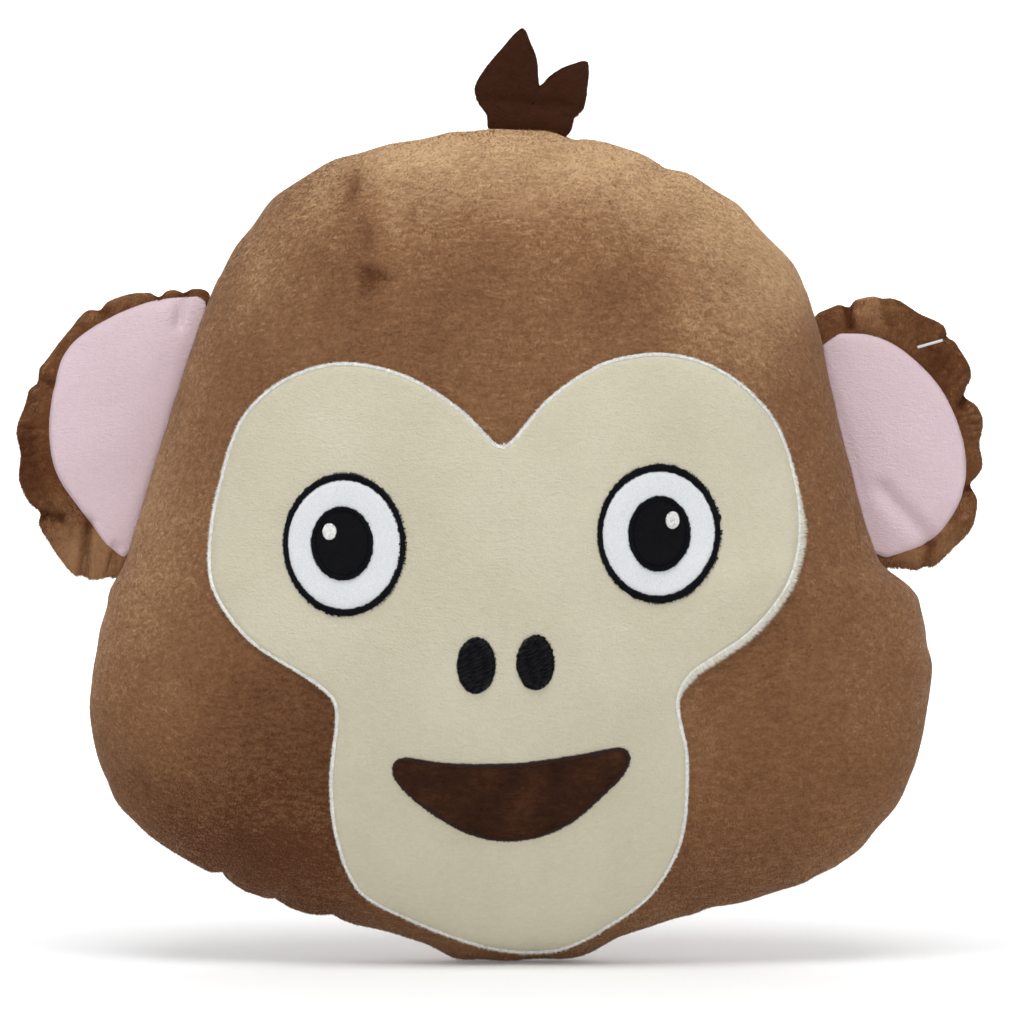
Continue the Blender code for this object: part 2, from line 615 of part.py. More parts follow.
def main():
    clear_scene()
    materials = {
        "head": fabric("brown_plush", BROWN),
        "head_back": fabric("brown_plush_back", BROWN),
        "filling": fabric("fibre_filling", FIBRE, 1.0),
        "thread": fabric("seam_thread", EAR_BROWN, 0.6),
        "ladder": fabric("ladder_thread", EAR_BROWN, 0.6),
        "face": fabric("beige_plush", BEIGE),
        "border": fabric("white_stitch", WHITE, 0.5),
        "white": fabric("eye_white_felt", WHITE, 0.8),
        "black": fabric("black_stitch", BLACK, 0.5),
        "pupil": fabric("black_felt", BLACK, 0.8),
        "highlight": fabric("highlight_stitch", WHITE, 0.5),
        "nostril": fabric("nostril_stitch", BLACK, 0.5),
        "mouth": fabric("mouth_plush", MOUTH_BROWN),
        "mouth_border": fabric("mouth_stitch", MOUTH_BROWN, 0.5),
        "ear": fabric("ear_plush", EAR_BROWN),
        "ear_back": fabric("ear_back_plush", EAR_BROWN),
        "pink": fabric("pink_plush", PINK),
        "tuft": fabric("tuft_plush", DARK_BROWN),
        "tuft_back": fabric("tuft_back_plush", DARK_BROWN),
        "tag": fabric("white_plastic", WHITE, 0.3),
    }
    head_panel("head_front_panel", -1, materials["head"])
    head_panel("head_back_panel", 1, materials["head_back"])
    head_filling(materials["filling"])
    seam_threads(materials["thread"], materials["ladder"])
    face(materials)
    for side, sizes in EYES.items():
        eye(side, sizes, materials)
    for side, sizes in NOSTRILS.items():
        face_patch(f"{side}_nostril", ellipse(*sizes, NOSTRIL_POINTS), sizes[0], PATCH_STITCH_LAYER, (1,),
                   materials["nostril"])
    mouth(materials)
    ear_pieces("left", EARS["left"], materials)
    tag_fastener(*ear_pieces("right", EARS["right"], materials), materials)
    tuft(materials)


main()
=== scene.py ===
"""Looks of the monkey-face plush cushion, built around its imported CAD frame.

The head and the ears are stuffed by cloth simulation inside the CAD outlines. Everything sewn to the face
is laid on the stuffed head, and every satin stitch is a thread of its own. Lengths are in metres, but names
and tables that say mm hold millimetres.
"""
import json
import math

import bpy
import numpy as np
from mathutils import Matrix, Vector
from mathutils.bvhtree import BVHTree
from mathutils.kdtree import KDTree


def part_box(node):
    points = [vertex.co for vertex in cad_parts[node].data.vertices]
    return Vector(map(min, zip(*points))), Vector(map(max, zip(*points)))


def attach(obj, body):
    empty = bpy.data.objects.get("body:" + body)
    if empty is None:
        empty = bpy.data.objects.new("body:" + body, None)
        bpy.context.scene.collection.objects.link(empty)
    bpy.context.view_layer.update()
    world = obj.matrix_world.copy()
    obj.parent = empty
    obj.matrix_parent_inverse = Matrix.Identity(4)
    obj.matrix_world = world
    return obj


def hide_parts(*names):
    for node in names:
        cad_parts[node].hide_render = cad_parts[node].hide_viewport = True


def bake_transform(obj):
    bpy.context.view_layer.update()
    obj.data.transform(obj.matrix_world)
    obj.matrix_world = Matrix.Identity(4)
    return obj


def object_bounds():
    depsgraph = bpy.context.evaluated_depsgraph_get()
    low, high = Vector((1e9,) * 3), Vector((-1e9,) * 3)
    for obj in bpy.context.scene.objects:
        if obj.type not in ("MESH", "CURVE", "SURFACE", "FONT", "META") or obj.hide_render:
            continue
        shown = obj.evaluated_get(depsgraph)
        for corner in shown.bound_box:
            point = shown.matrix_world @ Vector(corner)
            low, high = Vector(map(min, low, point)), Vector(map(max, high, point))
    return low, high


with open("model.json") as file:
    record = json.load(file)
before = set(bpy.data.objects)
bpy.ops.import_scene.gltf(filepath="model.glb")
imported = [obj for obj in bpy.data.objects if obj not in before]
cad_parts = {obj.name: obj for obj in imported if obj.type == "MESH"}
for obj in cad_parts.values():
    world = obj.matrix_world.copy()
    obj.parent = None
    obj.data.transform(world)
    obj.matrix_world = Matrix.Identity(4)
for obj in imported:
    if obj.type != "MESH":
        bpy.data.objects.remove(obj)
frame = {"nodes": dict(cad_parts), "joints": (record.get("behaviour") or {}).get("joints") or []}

CAD_BOX = [list(corner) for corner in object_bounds()]
MM = 0.001
BEYOND = 0.4  # metres: a place outside the cushion, from which rays are cast at it
NODES = frame["nodes"]


# ---------------- outlines read from the CAD nodes

def unit(vectors):
    """The vectors, each at a length of one."""
    return vectors / np.maximum(np.linalg.norm(vectors, axis=-1, keepdims=True), 1e-15)


def facing(turn):
    """The direction (x, z) of each angle."""
    return np.stack([np.cos(turn), np.sin(turn)], axis=1)


def corners(node):
    low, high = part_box(node)
    return np.array(low), np.array(high)


def middle_of(node, up=0.5):
    """A point (x, z) in the node's box, at a share of its height."""
    low, high = corners(node)
    return np.array([(low[0] + high[0]) / 2, low[2] + up * (high[2] - low[2])])


class Reach:
    """How far a closed loop of (x, z) points lies from a centre, in each direction."""

    def __init__(self, loop, centre):
        spoke = loop - centre
        turn = np.arctan2(spoke[:, 1], spoke[:, 0])
        order = np.argsort(turn)
        self.centre = np.array(centre)
        self.turn, self.length = turn[order], np.linalg.norm(spoke, axis=1)[order]

    def at(self, turn):
        return np.interp(turn, self.turn, self.length, period=2 * math.pi)

    def share(self, points):
        spoke = points - self.centre
        return np.linalg.norm(spoke, axis=-1) / self.at(np.arctan2(spoke[..., 1], spoke[..., 0]))


def outline_of(node, centre=None, tolerance=0.03 * MM, closest=0.4 * MM):
    """The node's outline seen from the front, as a smooth closed loop of (x, z) points."""
    centre = middle_of(node) if centre is None else centre
    mesh = NODES[node].data
    flat = np.array([(v.co.x, v.co.z) for v in mesh.vertices])
    ends = np.array([e.vertices[:] for e in mesh.edges])
    spoke = flat - centre
    turn = np.arctan2(spoke[:, 1], spoke[:, 0])
    far = np.linalg.norm(spoke, axis=1)
    start, along = spoke[ends[:, 0]], spoke[ends[:, 1]] - spoke[ends[:, 0]]
    reach = np.zeros(len(flat))
    for k, angle in enumerate(turn):
        ray = np.array([math.cos(angle), math.sin(angle)])
        slope = ray[0] * along[:, 1] - ray[1] * along[:, 0]
        slope = np.where(np.abs(slope) < 1e-12, 1e-12, slope)
        distance = (start[:, 0] * along[:, 1] - start[:, 1] * along[:, 0]) / slope
        share = (start[:, 0] * ray[1] - start[:, 1] * ray[0]) / slope
        crossed = (share > -1e-6) & (share < 1 + 1e-6) & (distance > 0)
        reach[k] = distance[crossed].max() if crossed.any() else far[k]
    outer = np.nonzero(far > reach - tolerance)[0]
    outer = outer[np.argsort(turn[outer])]
    ring = [outer[0]]
    for k in outer[1:]:
        if np.linalg.norm(flat[k] - flat[ring[-1]]) > closest:
            ring.append(k)
    return smooth_loop(flat[ring])


def smooth_loop(points, steps=6, sharp=50):
    """Catmull-Rom curve through a closed loop of points, which keeps corners of over this many degrees."""
    before, after = points - np.roll(points, 1, axis=0), np.roll(points, -1, axis=0) - points
    bend = np.arctan2(before[:, 0] * after[:, 1] - before[:, 1] * after[:, 0], (before * after).sum(axis=1))
    points = np.repeat(points, np.where(np.abs(bend) > math.radians(sharp), 3, 1), axis=0)
    ahead, behind, beyond = (np.roll(points, -k, axis=0) for k in (1, -1, 2))
    samples = []
    for step in range(steps):
        t = step / steps
        samples.append(0.5 * (2 * points + (ahead - behind) * t
                              + (2 * behind - 5 * points + 4 * ahead - beyond) * t ** 2
                              + (3 * points - behind - 3 * ahead + beyond) * t ** 3))
    return np.stack(samples, axis=1).reshape(-1, points.shape[1])


def even_loop(loop, spacing):
    """The closed loop resampled to an even spacing."""
    closed = np.concatenate([loop, loop[:1]])
    run = np.concatenate([[0], np.cumsum(np.linalg.norm(np.diff(closed, axis=0), axis=1))])
    count = max(8, round(run[-1] / spacing))
    place = np.arange(count) * run[-1] / count
    return np.stack([np.interp(place, run, closed[:, k]) for k in range(loop.shape[1])], axis=1)


def hull(points):
    """The convex outline of (x, z) points, anticlockwise."""
    chain = []
    for run in (sorted(map(tuple, points)), sorted(map(tuple, points), reverse=True)):
        half = []
        for point in run:
            while len(half) > 1:
                if np.cross(np.subtract(half[-1], half[-2]), np.subtract(point, half[-1])) > 0:
                    break
                half.pop()
            half.append(point)
        chain += half[:-1]
    return np.array(chain)


def grown(loop, distance):
    """The loop moved outwards square to itself."""
    along = np.roll(loop, -1, axis=0) - np.roll(loop, 1, axis=0)
    normal = unit(np.stack([along[:, 1], -along[:, 0]], axis=1))
    turning = (loop[:, 0] * np.roll(loop[:, 1], -1) - np.roll(loop[:, 0], -1) * loop[:, 1]).sum()
    return loop + normal * distance * (1 if turning > 0 else -1)


# ---------------- mesh building

def disc_grid(cells):
    """A square grid bent into a disc ring by ring: (share of the radius, direction) of each point, its quads
    and the order of the points on its edge."""
    line = np.linspace(-1, 1, cells + 1)
    u, v = (axis.ravel() for axis in np.meshgrid(line, line, indexing="ij"))
    share = np.maximum(np.abs(u), np.abs(v))
    wide = np.abs(u) >= np.abs(v)
    safe_u, safe_v = np.where(u == 0, 1, u), np.where(v == 0, 1, v)
    turn = np.where(wide, math.pi / 4 * v / safe_u + np.where(u < 0, math.pi, 0),
                    math.pi / 2 - math.pi / 4 * u / safe_v + np.where(v < 0, math.pi, 0))
    turn[share == 0] = 0
    i, j = (axis.ravel() for axis in np.meshgrid(np.arange(cells), np.arange(cells), indexing="ij"))
    wide_row = cells + 1
    quads = np.stack([i * wide_row + j, (i + 1) * wide_row + j, (i + 1) * wide_row + j + 1,
                      i * wide_row + j + 1], axis=1)
    edge = np.nonzero(share > 1 - 1e-9)[0]
    edge = edge[np.argsort(np.mod(turn[edge], 2 * math.pi))]
    return share, turn, quads, edge


def band(first, second):
    """Quads between two closed rows of point numbers."""
    return np.stack([first, np.roll(first, -1), np.roll(second, -1), second], axis=1)


def walled(quads, edge, count):
    """A disc's quads and a wall down to a copy of its edge, which follows the disc's (count) points."""
    return np.concatenate([quads, band(edge, count + np.arange(len(edge)))[:, ::-1]])


def spread(reach, share, turn):
    """Points (x, z) of a disc grid spread over an outline."""
    return reach.centre + (share * reach.at(turn))[:, None] * facing(turn)


def add_object(name, data):
    made = bpy.data.objects.new(name, data)
    bpy.context.scene.collection.objects.link(made)
    return made


def new_object(name, points, faces, material, smooth=True):
    mesh = bpy.data.meshes.new(name)
    mesh.from_pydata([tuple(p) for p in points], [], [tuple(int(k) for k in f) for f in faces])
    mesh.materials.append(MATERIALS[material])
    if smooth:
        mesh.shade_smooth()
    mesh.update()
    return add_object(name, mesh)


def coordinates(obj, evaluated=False):
    source = obj.evaluated_get(bpy.context.evaluated_depsgraph_get()) if evaluated else obj
    mesh = source.data
    flat = np.zeros(len(mesh.vertices) * 3, np.float32)
    mesh.vertices.foreach_get("co", flat)
    return flat.reshape(-1, 3).astype(float)


def subdivide(obj, levels):
    modifier = obj.modifiers.new("subdivide", "SUBSURF")
    modifier.levels = modifier.render_levels = levels
    mesh = bpy.data.meshes.new_from_object(obj.evaluated_get(bpy.context.evaluated_depsgraph_get()))
    obj.modifiers.clear()
    obj.data = mesh


def stuff(obj, pinned, slack, pressure, cap, frames=20):
    """Fills a closed fabric shape by cloth simulation. Its seam stays, and no point moves past the cap."""
    start = coordinates(obj)
    centre = start.mean(axis=0)
    obj.shape_key_add(name="start")
    cut = obj.shape_key_add(name="cut")
    cut.data.foreach_set("co", (centre + (start - centre) * slack).astype(np.float32).ravel())
    held = obj.vertex_groups.new(name="seam")
    held.add([int(k) for k in pinned], 1.0, "REPLACE")
    cloth = obj.modifiers.new("fabric", "CLOTH")
    fabric = cloth.settings
    fabric.quality = 6
    fabric.mass = 0.15
    fabric.tension_stiffness = fabric.compression_stiffness = 20
    fabric.shear_stiffness = 8
    fabric.bending_stiffness = 0.6
    fabric.rest_shape_key = cut
    fabric.vertex_group_mass = "seam"
    fabric.use_pressure = True
    fabric.uniform_pressure_force = pressure
    fabric.effector_weights.gravity = 0
    cloth.collision_settings.use_collision = False
    cloth.point_cache.frame_start, cloth.point_cache.frame_end = 1, frames
    for step in range(1, frames + 1):
        bpy.context.scene.frame_set(step)
    moved = coordinates(obj, evaluated=True) - start
    far = np.linalg.norm(moved, axis=1)[:, None]
    moved *= np.minimum(1, cap / np.maximum(far, 1e-9))
    obj.modifiers.clear()
    obj.shape_key_clear()
    obj.data.vertices.foreach_set("co", (start + moved).astype(np.float32).ravel())
    obj.data.update()
    bpy.context.scene.frame_set(1)


class Surface:
    """The front of a stuffed piece that others are laid on."""

    def __init__(self, obj):
        self.tree = BVHTree.FromPolygons([v.co for v in obj.data.vertices],
                                         [p.vertices[:] for p in obj.data.polygons])

    def drop(self, flat):
        found = []
        for x, z in flat:
            hit = self.tree.ray_cast(Vector((x, -BEYOND, z)), Vector((0, 1, 0)))[0]
            if hit is None:
                hit = self.tree.find_nearest(Vector((x, -1 * MM, z)))[0]
            found.append(hit[:])
        return np.array(found)

    def at(self, flat, step=1.5 * MM):
        """The points under (x, z) and the directions square to the surface there."""
        flat = np.asarray(flat, float)
        across = self.drop(flat + (step, 0)) - self.drop(flat - (step, 0))
        upward = self.drop(flat + (0, step)) - self.drop(flat - (0, step))
        return self.drop(flat), unit(np.cross(across, upward))


# ---------------- materials

class Paint:
    """A node material being put together."""

    def __init__(self, name, **settings):
        self.material = bpy.data.materials.new(name)
        self.material.use_nodes = True
        self.tree = self.material.node_tree
        self.shader = self.tree.nodes["Principled BSDF"]
        self.place = self.node("TexCoord").outputs["Object"]
        self.fill_in(self.shader, settings)

    def fill_in(self, node, inputs):
        for socket, value in inputs.items():
            node.inputs[socket.replace("_", " ")].default_value = value
        return node

    def node(self, kind, **inputs):
        return self.fill_in(self.tree.nodes.new("ShaderNode" + kind), inputs)

    def link(self, output, node, socket):
        self.tree.links.new(output, node.inputs[socket])

    def noise(self, size, detail=2.0, stretch=(1, 1, 1)):
        """Noise whose features are about this many millimetres, longer along an axis by its stretch."""
        mapping = self.node("Mapping", Scale=[1 / (size * MM * s) for s in stretch])
        self.link(self.place, mapping, "Vector")
        noise = self.node("TexNoise", Scale=1.0, Detail=detail, Roughness=0.5)
        self.link(mapping.outputs[0], noise, "Vector")
        return noise.outputs["Fac"]

    def math(self, operation, a, b):
        node = self.node("Math")
        node.operation = operation
        for socket, value in enumerate((a, b)):
            if isinstance(value, (int, float)):
                node.inputs[socket].default_value = value
            else:
                self.tree.links.new(value, node.inputs[socket])
        return node.outputs[0]

    def sum_of(self, parts, start=0.0):
        """The sum of outputs, each times its share, and of a start."""
        total = 0.0
        for output, share in parts:
            total = self.math("ADD", total, self.math("MULTIPLY", output, share))
        return self.math("ADD", total, start)

    def pile_tone_and_painted_light(self):
        """The pile's tone at each point, with its painted light and shade, which the mesh itself carries."""
        node = self.node("Attribute")
        node.attribute_name = "pile_tone_and_painted_light"
        return node.outputs["Fac"]

    def ramp(self, factor, stops):
        node = self.node("ValToRGB")
        node.color_ramp.elements.remove(node.color_ramp.elements[1])
        for k, (place, colour) in enumerate(stops):
            stop = node.color_ramp.elements[0] if k == 0 else node.color_ramp.elements.new(place)
            stop.position = place
            stop.color = (*colour, 1)
        self.link(factor, node, 0)
        return node.outputs[0]

    def colour(self, output):
        self.link(output, self.shader, "Base Color")

    def bump(self, height, distance, strength=1.0):
        node = self.node("Bump", Distance=distance * MM, Strength=strength)
        self.link(height, node, "Height")
        self.link(node.outputs[0], self.shader, "Normal")


def shade(colour, factor):
    return tuple(min(1, channel * factor) for channel in colour)


def plush(name, colours, mottle, pile=1.0, sheen=0.3, tint=(1, 0.78, 0.6), patch=38):
    """Short pile: fine tufts in rows, nap streaks, patches brushed lighter or darker, and the tone the mesh
    carries, which holds painted light and shade.
    """
    paint = Paint(name, Roughness=0.95, Specular_IOR_Level=0.15, Sheen_Weight=sheen, Sheen_Roughness=0.45,
                  Sheen_Tint=(*tint, 1))
    patches = paint.noise(patch, 3.0, (1, 1, 1.3))
    streaks = paint.noise(1.6 * pile, 3.0, (2.6, 1, 1))
    tufts = paint.noise(0.8 * pile, 2.0, (1.6, 1, 1))
    streaked, tufted = 0.32, 0.28
    mixed = paint.sum_of([(patches, mottle), (streaks, streaked), (tufts, tufted), (paint.pile_tone_and_painted_light(), 0.5)],
                         0.5 - (mottle + streaked + tufted) / 2)
    paint.colour(paint.ramp(mixed, zip(np.linspace(0.25, 0.75, len(colours)), colours)))
    paint.bump(paint.sum_of([(tufts, 1), (streaks, 0.8)]), 0.55 * pile)
    return paint.material


def grained(paint, size, detail, dark, light):
    """Colours the paint with a grain of about this size, and gives the grain back."""
    grain = paint.noise(size, detail)
    paint.colour(paint.ramp(grain, [(0.3, dark), (0.7, light)]))
    return grain


def thread(name, colour, gloss=0.6, sheen=0.15, shine=0.5):
    paint = Paint(name, Roughness=gloss, Specular_IOR_Level=shine, Sheen_Weight=sheen, Sheen_Roughness=0.3)
    grained(paint, 1.2, 2.0, shade(colour, 0.8), shade(colour, 1.12))
    paint.bump(paint.noise(0.12, 1.0), 0.03, 0.5)
    return paint.material


def felt(name, dark, light, sheen=0.2, shine=0.3):
    paint = Paint(name, Roughness=0.9, Specular_IOR_Level=shine, Sheen_Weight=sheen, Sheen_Roughness=0.4)
    paint.bump(grained(paint, 0.5, 3.0, dark, light), 0.18)
    return paint.material


def plastic(name, colour):
    paint = Paint(name, Roughness=0.28)
    grained(paint, 3.0, 2.0, shade(colour, 0.94), colour)
    return paint.material


# Each plush from the shade of its pile brushed against the light to that of its pile brushed with it: the
# range of painted shade and painted light that its tone spans
BROWN = [(0.098, 0.035, 0.013), (0.264, 0.130, 0.060), (0.560, 0.365, 0.198)]
EAR_BROWN = [(0.078, 0.020, 0.007), (0.178, 0.072, 0.028), (0.370, 0.195, 0.095)]
TUFT_BROWN = [(0.026, 0.007, 0.003), (0.076, 0.026, 0.010)]
BEIGE_EDGE = [(0.660, 0.630, 0.530), (0.840, 0.820, 0.740)]
MATERIALS = {
    "brown": plush("brown_plush", BROWN, mottle=0.3),
    "ear": plush("ear_plush", EAR_BROWN, pile=1.2, mottle=0.8, patch=16, sheen=0.12),
    "tuft": plush("tuft_plush", TUFT_BROWN, mottle=0.4, sheen=0.02),
    "mouth": plush("mouth_plush", [(0.014, 0.004, 0.0015), (0.036, 0.012, 0.004), (0.080, 0.030, 0.012)],
                   mottle=0.6, sheen=0.02, patch=14),
    "beige": plush("beige_plush", [(0.520, 0.475, 0.352), (0.640, 0.600, 0.468)], pile=0.7, mottle=0.5,
                   sheen=0.08, tint=(1, 1, 0.95)),
    "pink": plush("pink_plush", [(0.610, 0.465, 0.505), (0.715, 0.560, 0.605)], pile=0.6, mottle=0.5,
                  sheen=0.08, tint=(1, 0.95, 0.97)),
    "white_felt": felt("white_felt", (0.63, 0.65, 0.67), (0.76, 0.77, 0.78)),
    "black_felt": felt("black_felt", (0.002, 0.002, 0.0025), (0.006, 0.006, 0.007), sheen=0.02, shine=0.1),
    "white_thread": thread("white_thread", (0.88, 0.875, 0.85), gloss=0.45),
    "black_thread": thread("black_thread", (0.0022, 0.0026, 0.0050), sheen=0.0, shine=0.12),
    "dark_thread": thread("dark_brown_thread", (0.026, 0.009, 0.0045), sheen=0.03, shine=0.25),
    "brown_thread": thread("brown_thread", (0.150, 0.070, 0.036)),
    "plastic": plastic("white_plastic", (0.62, 0.64, 0.66)),
}


# ---------------- the head

SEAM_Y = (corners("head_front_panel")[1][1] + corners("head_back_panel")[0][1]) / 2
HEAD_MIDDLE = middle_of("head_front_panel")
HEAD_LOOP = outline_of("head_front_panel")
HEAD_REACH = Reach(HEAD_LOOP, HEAD_MIDDLE)
HEAD_RISE = corners("head_back_panel")[1][1] - SEAM_Y


def crown(share, flatness=2.2, edge=0.55):
    """The height of a stuffed cushion, as a share of its middle's, at a share of the way to its seam."""
    return np.clip(1 - share ** flatness, 0, None) ** edge


def two_sided(reach, cells, width, rise, height_of):
    """A closed shape of two grids that share their edge: points, faces, and the seam's point numbers."""
    ring, turn, quads, edge = disc_grid(cells)
    fine = np.linspace(0, 1, 2001)
    step = np.hypot(np.diff(fine) * width, np.diff(rise * crown(fine)))
    run = np.concatenate([[0], np.cumsum(step)])
    share = np.interp(ring * run[-1], run, fine)
    flat = spread(reach, share, turn)
    height = height_of(flat, share)
    height[edge] = 0
    front = np.stack([flat[:, 0], SEAM_Y - height, flat[:, 1]], axis=1)
    back = np.stack([flat[:, 0], SEAM_Y + height, flat[:, 1]], axis=1)
    number = np.arange(len(flat))
    inner = np.setdiff1d(number, edge)
    twin = number.copy()
    twin[inner] = len(flat) + np.arange(len(inner))
    points = np.concatenate([front, back[inner]])
    faces = np.concatenate([quads, twin[quads][:, ::-1]])
    return points, faces, edge


def ripple(turn, seed, waves, count=8):
    """An uneven wave round a loop, from about -1 to 1, that repeats this many times round it."""
    rng = np.random.default_rng(seed)
    total = np.zeros_like(turn)
    for _ in range(count):
        total += np.sin(rng.integers(*waves) * turn + rng.uniform(0, 2 * math.pi))
    return total / math.sqrt(count)


def lumps(points, size, seed, count=14):
    """Smooth unevenness of about this size in millimetres, from about -1 to 1."""
    rng = np.random.default_rng(seed)
    total = np.zeros(len(points))
    for _ in range(count):
        ray = rng.normal(size=3)
        ray *= 2 * math.pi / (size * MM * rng.uniform(0.7, 1.6) * np.linalg.norm(ray))
        total += np.sin(points @ ray + rng.uniform(0, 2 * math.pi))
    return total / math.sqrt(count)


def bell(distance, width):
    return np.exp(-(distance / width) ** 2)


def normals_of(obj):
    flat = np.zeros(len(obj.data.vertices) * 3, np.float32)
    obj.data.vertex_normals.foreach_get("vector", flat)
    return flat.reshape(-1, 3).astype(float)


def put(obj, place):
    obj.data.vertices.foreach_set("co", place.astype(np.float32).ravel())
    obj.data.update()


def flat_of(points):
    """The points seen from the front, as (x, z)."""
    return points[:, [0, 2]]


def turns_of(flat, centre):
    spoke = flat - centre
    return np.arctan2(spoke[:, 1], spoke[:, 0]), np.linalg.norm(spoke, axis=1)


def inside(flat, node, margin):
    """Which (x, z) points lie in the node's box, seen from the front."""
    low, high = corners(node)
    return np.all((flat > low[[0, 2]] - margin) & (flat < high[[0, 2]] + margin), axis=1)


# Patches where the pile shows lighter or darker: (place across and up in shares of the node's box, size
# across and up in mm, how much lighter it shows). The back panel's patches show on both sides of the head and
# paint
# light and shade: lighter at the top and the upper sides as painted light and painted sheen, darker low down
# as painted shade. The front panel's are brush marks, except the last, which is a painted shadow in the pinch
# low on the left. The ears' are lighter and darker patches.
PILE_TONES_AND_PAINTED_LIGHT = {
    "head_back_panel": [(0.52, 1.04, 125, 36, 0.78), (0.80, 0.86, 38, 40, 0.44), (0.06, 0.62, 26, 55, 0.30),
                        (0.07, 0.38, 26, 36, 0.04), (0.94, 0.42, 28, 60, 0.04), (0.20, 0.10, 50, 42, -0.46),
                        (0.72, 0.08, 60, 34, -0.18), (0.30, 0.30, 34, 34, -0.20)],
    "head_front_panel": [(0.316, 0.925, 4, 8, -0.34), (0.355, 0.815, 6, 4, -0.46), (0.335, 0.87, 3, 9, -0.20),
                         (0.28, 0.85, 14, 11, -0.08), (0.37, 0.88, 6, 16, 0.10), (0.20, 0.82, 22, 26, 0.14),
                         (0.66, 0.80, 16, 10, -0.10), (0.19, 0.135, 5, 6, -0.30)],
    "left_ear_back": [(0.40, 0.06, 13, 16, 0.62), (0.62, 0.98, 12, 8, 0.16), (0.28, 0.88, 12, 8, 0.10),
                      (0.05, 0.45, 8, 30, -0.22)],
    "right_ear_back": [(0.22, 0.95, 15, 8, 0.30), (0.62, 0.10, 16, 9, 0.25), (0.95, 0.45, 6, 14, 0.08),
                       (0.72, 0.72, 9, 9, -0.22)],
}


def pile_tone_and_painted_light(points, node):
    """How much lighter or darker the pile shows, with uneven edges to each patch: on the head's back panel
    this is painted light and shade.
    """
    low, high = corners(node)
    across = points[:, 0] / MM + 3 * lumps(points, 26, 81)
    up = points[:, 2] / MM + 3 * lumps(points, 26, 82)
    tone = np.zeros(len(points))
    for place_x, place_z, wide, tall, change in PILE_TONES_AND_PAINTED_LIGHT[node]:
        x, z = (low + (high - low) * (place_x, 0, place_z))[[0, 2]] / MM
        tone += change * bell(across - x, wide) * bell(up - z, tall)
    return tone


# The head's pile tone: painted light at the top and painted shade low down, from the back panel's patches on
# both sides, and brush marks on the front
def head_tone_and_painted_light(points):
    front = points[:, 1] < SEAM_Y
    return pile_tone_and_painted_light(points, "head_back_panel") + front * pile_tone_and_painted_light(points, "head_front_panel") - 0.1


def carry(obj, tone):
    """Stores the pile's tone, with any painted light and shade in it, on the mesh, where its material reads
    it.
    """
    obj.data.attributes.new("pile_tone_and_painted_light", "FLOAT", "POINT").data.foreach_set("value", tone.astype(np.float32))


# Gathers in the head's seam: (direction in degrees, depth in mm, width in mm)
GATHERS = [(81, 1.5, 4.5), (67, 1.4, 5), (100, 0.8, 5), (-14, 1.2, 5), (-172, 1.0, 5), (-131.5, 3.6, 2.8),
           (-124, 1.4, 3), (-116, 1.6, 3.5), (-48, 1.0, 5), (-62, 0.9, 4), (38, 0.6, 7), (128, 0.3, 8),
           (-150, 0.9, 5)]


def head():
    points, faces, edge = two_sided(HEAD_REACH, cells=54, width=150 * MM, rise=HEAD_RISE,
                                    height_of=lambda flat, share: HEAD_RISE * crown(share))
    made = new_object("head_cushion", points, faces, "brown")
    stuff(made, edge, slack=1.03, pressure=4.0, cap=9 * MM)
    subdivide(made, 2)
    place, normal = coordinates(made), normals_of(made)
    flat = flat_of(place)
    turn, far = turns_of(flat, HEAD_MIDDLE)
    depth = place[:, 1] - SEAM_Y
    near = np.exp(-np.abs(depth) / (13 * MM)) * (HEAD_REACH.share(flat) > 0.6)
    groove = bell(depth, 1.9 * MM)
    side_turn = turn + 0.02 * np.tanh(depth / (6 * MM))
    opening = inside(flat, "closing_ladder_thread", 6 * MM)
    by_ears = inside(flat, "left_ear_back", 8 * MM) | inside(flat, "right_ear_back", 8 * MM)
    swell = 0.42 * ripple(side_turn, 5, (24, 52)) + 0.3 * opening * ripple(side_turn, 6, (90, 150))
    swell *= near * np.where(by_ears, 0.15, 1)
    for direction, sunk, width in GATHERS:
        away = np.mod(side_turn - math.radians(direction) + math.pi, 2 * math.pi) - math.pi
        swell -= sunk * bell(away * far, width * MM) * near ** 0.7
    swell -= 1.5 * groove
    swell += 0.35 * lumps(place, 55, 7) + 0.1 * lumps(place, 13, 8)
    place += normal * swell[:, None] * MM
    place[:, 2] = np.maximum(place[:, 2], 0)
    put(made, place)
    # The head's tone, with its painted light and shade, goes to the material
    carry(made, head_tone_and_painted_light(place))
    return made


def seam_stitches(surface):
    """The machine stitches that lie in the seam, and the hand stitches that close the opening."""
    line = even_loop(HEAD_LOOP, 0.8 * MM)
    turn, reach = turns_of(line, HEAD_MIDDLE)
    outwards = np.stack([np.cos(turn), 0 * turn, np.sin(turn)], axis=1)
    middle = np.array([HEAD_MIDDLE[0], SEAM_Y, HEAD_MIDDLE[1]])
    path = []
    for ray, far in zip(outwards, reach):
        hit = surface.tree.ray_cast(Vector(middle + ray * BEYOND), Vector(-ray))[0]
        path.append(hit[:] if hit else middle + ray * far)
    path = np.array(path) + outwards * 0.1 * MM
    by_hand = inside(line, "closing_ladder_thread", 1 * MM)
    machine, ladder = [], []
    for k in range(0, len(path) - 4, 4):
        if by_hand[k]:
            slant = np.array([0, 1.5 * MM, 0])
            route = np.array([path[k] - slant, path[k + 1] + outwards[k] * 0.3 * MM, path[k + 3] + slant])
            ladder.append(tube(route, 0.26 * MM, 5))
        else:
            machine.append(tube(path[k:k + 4], 0.28 * MM, 5))
    for name, parts, node in (("seam_stitches", machine, "head_seam_thread"),
                              ("closing_stitches", ladder, "closing_ladder_thread")):
        stitches = new_object(name, *joined(parts), "brown_thread")
        stands_for(stitches, "seam_thread", node)


# The foot of each blade of pile, and of each loose one at the face panel's edge
PILE_WIDTH, LOOSE_WIDTH = 0.34 * MM, 0.26 * MM


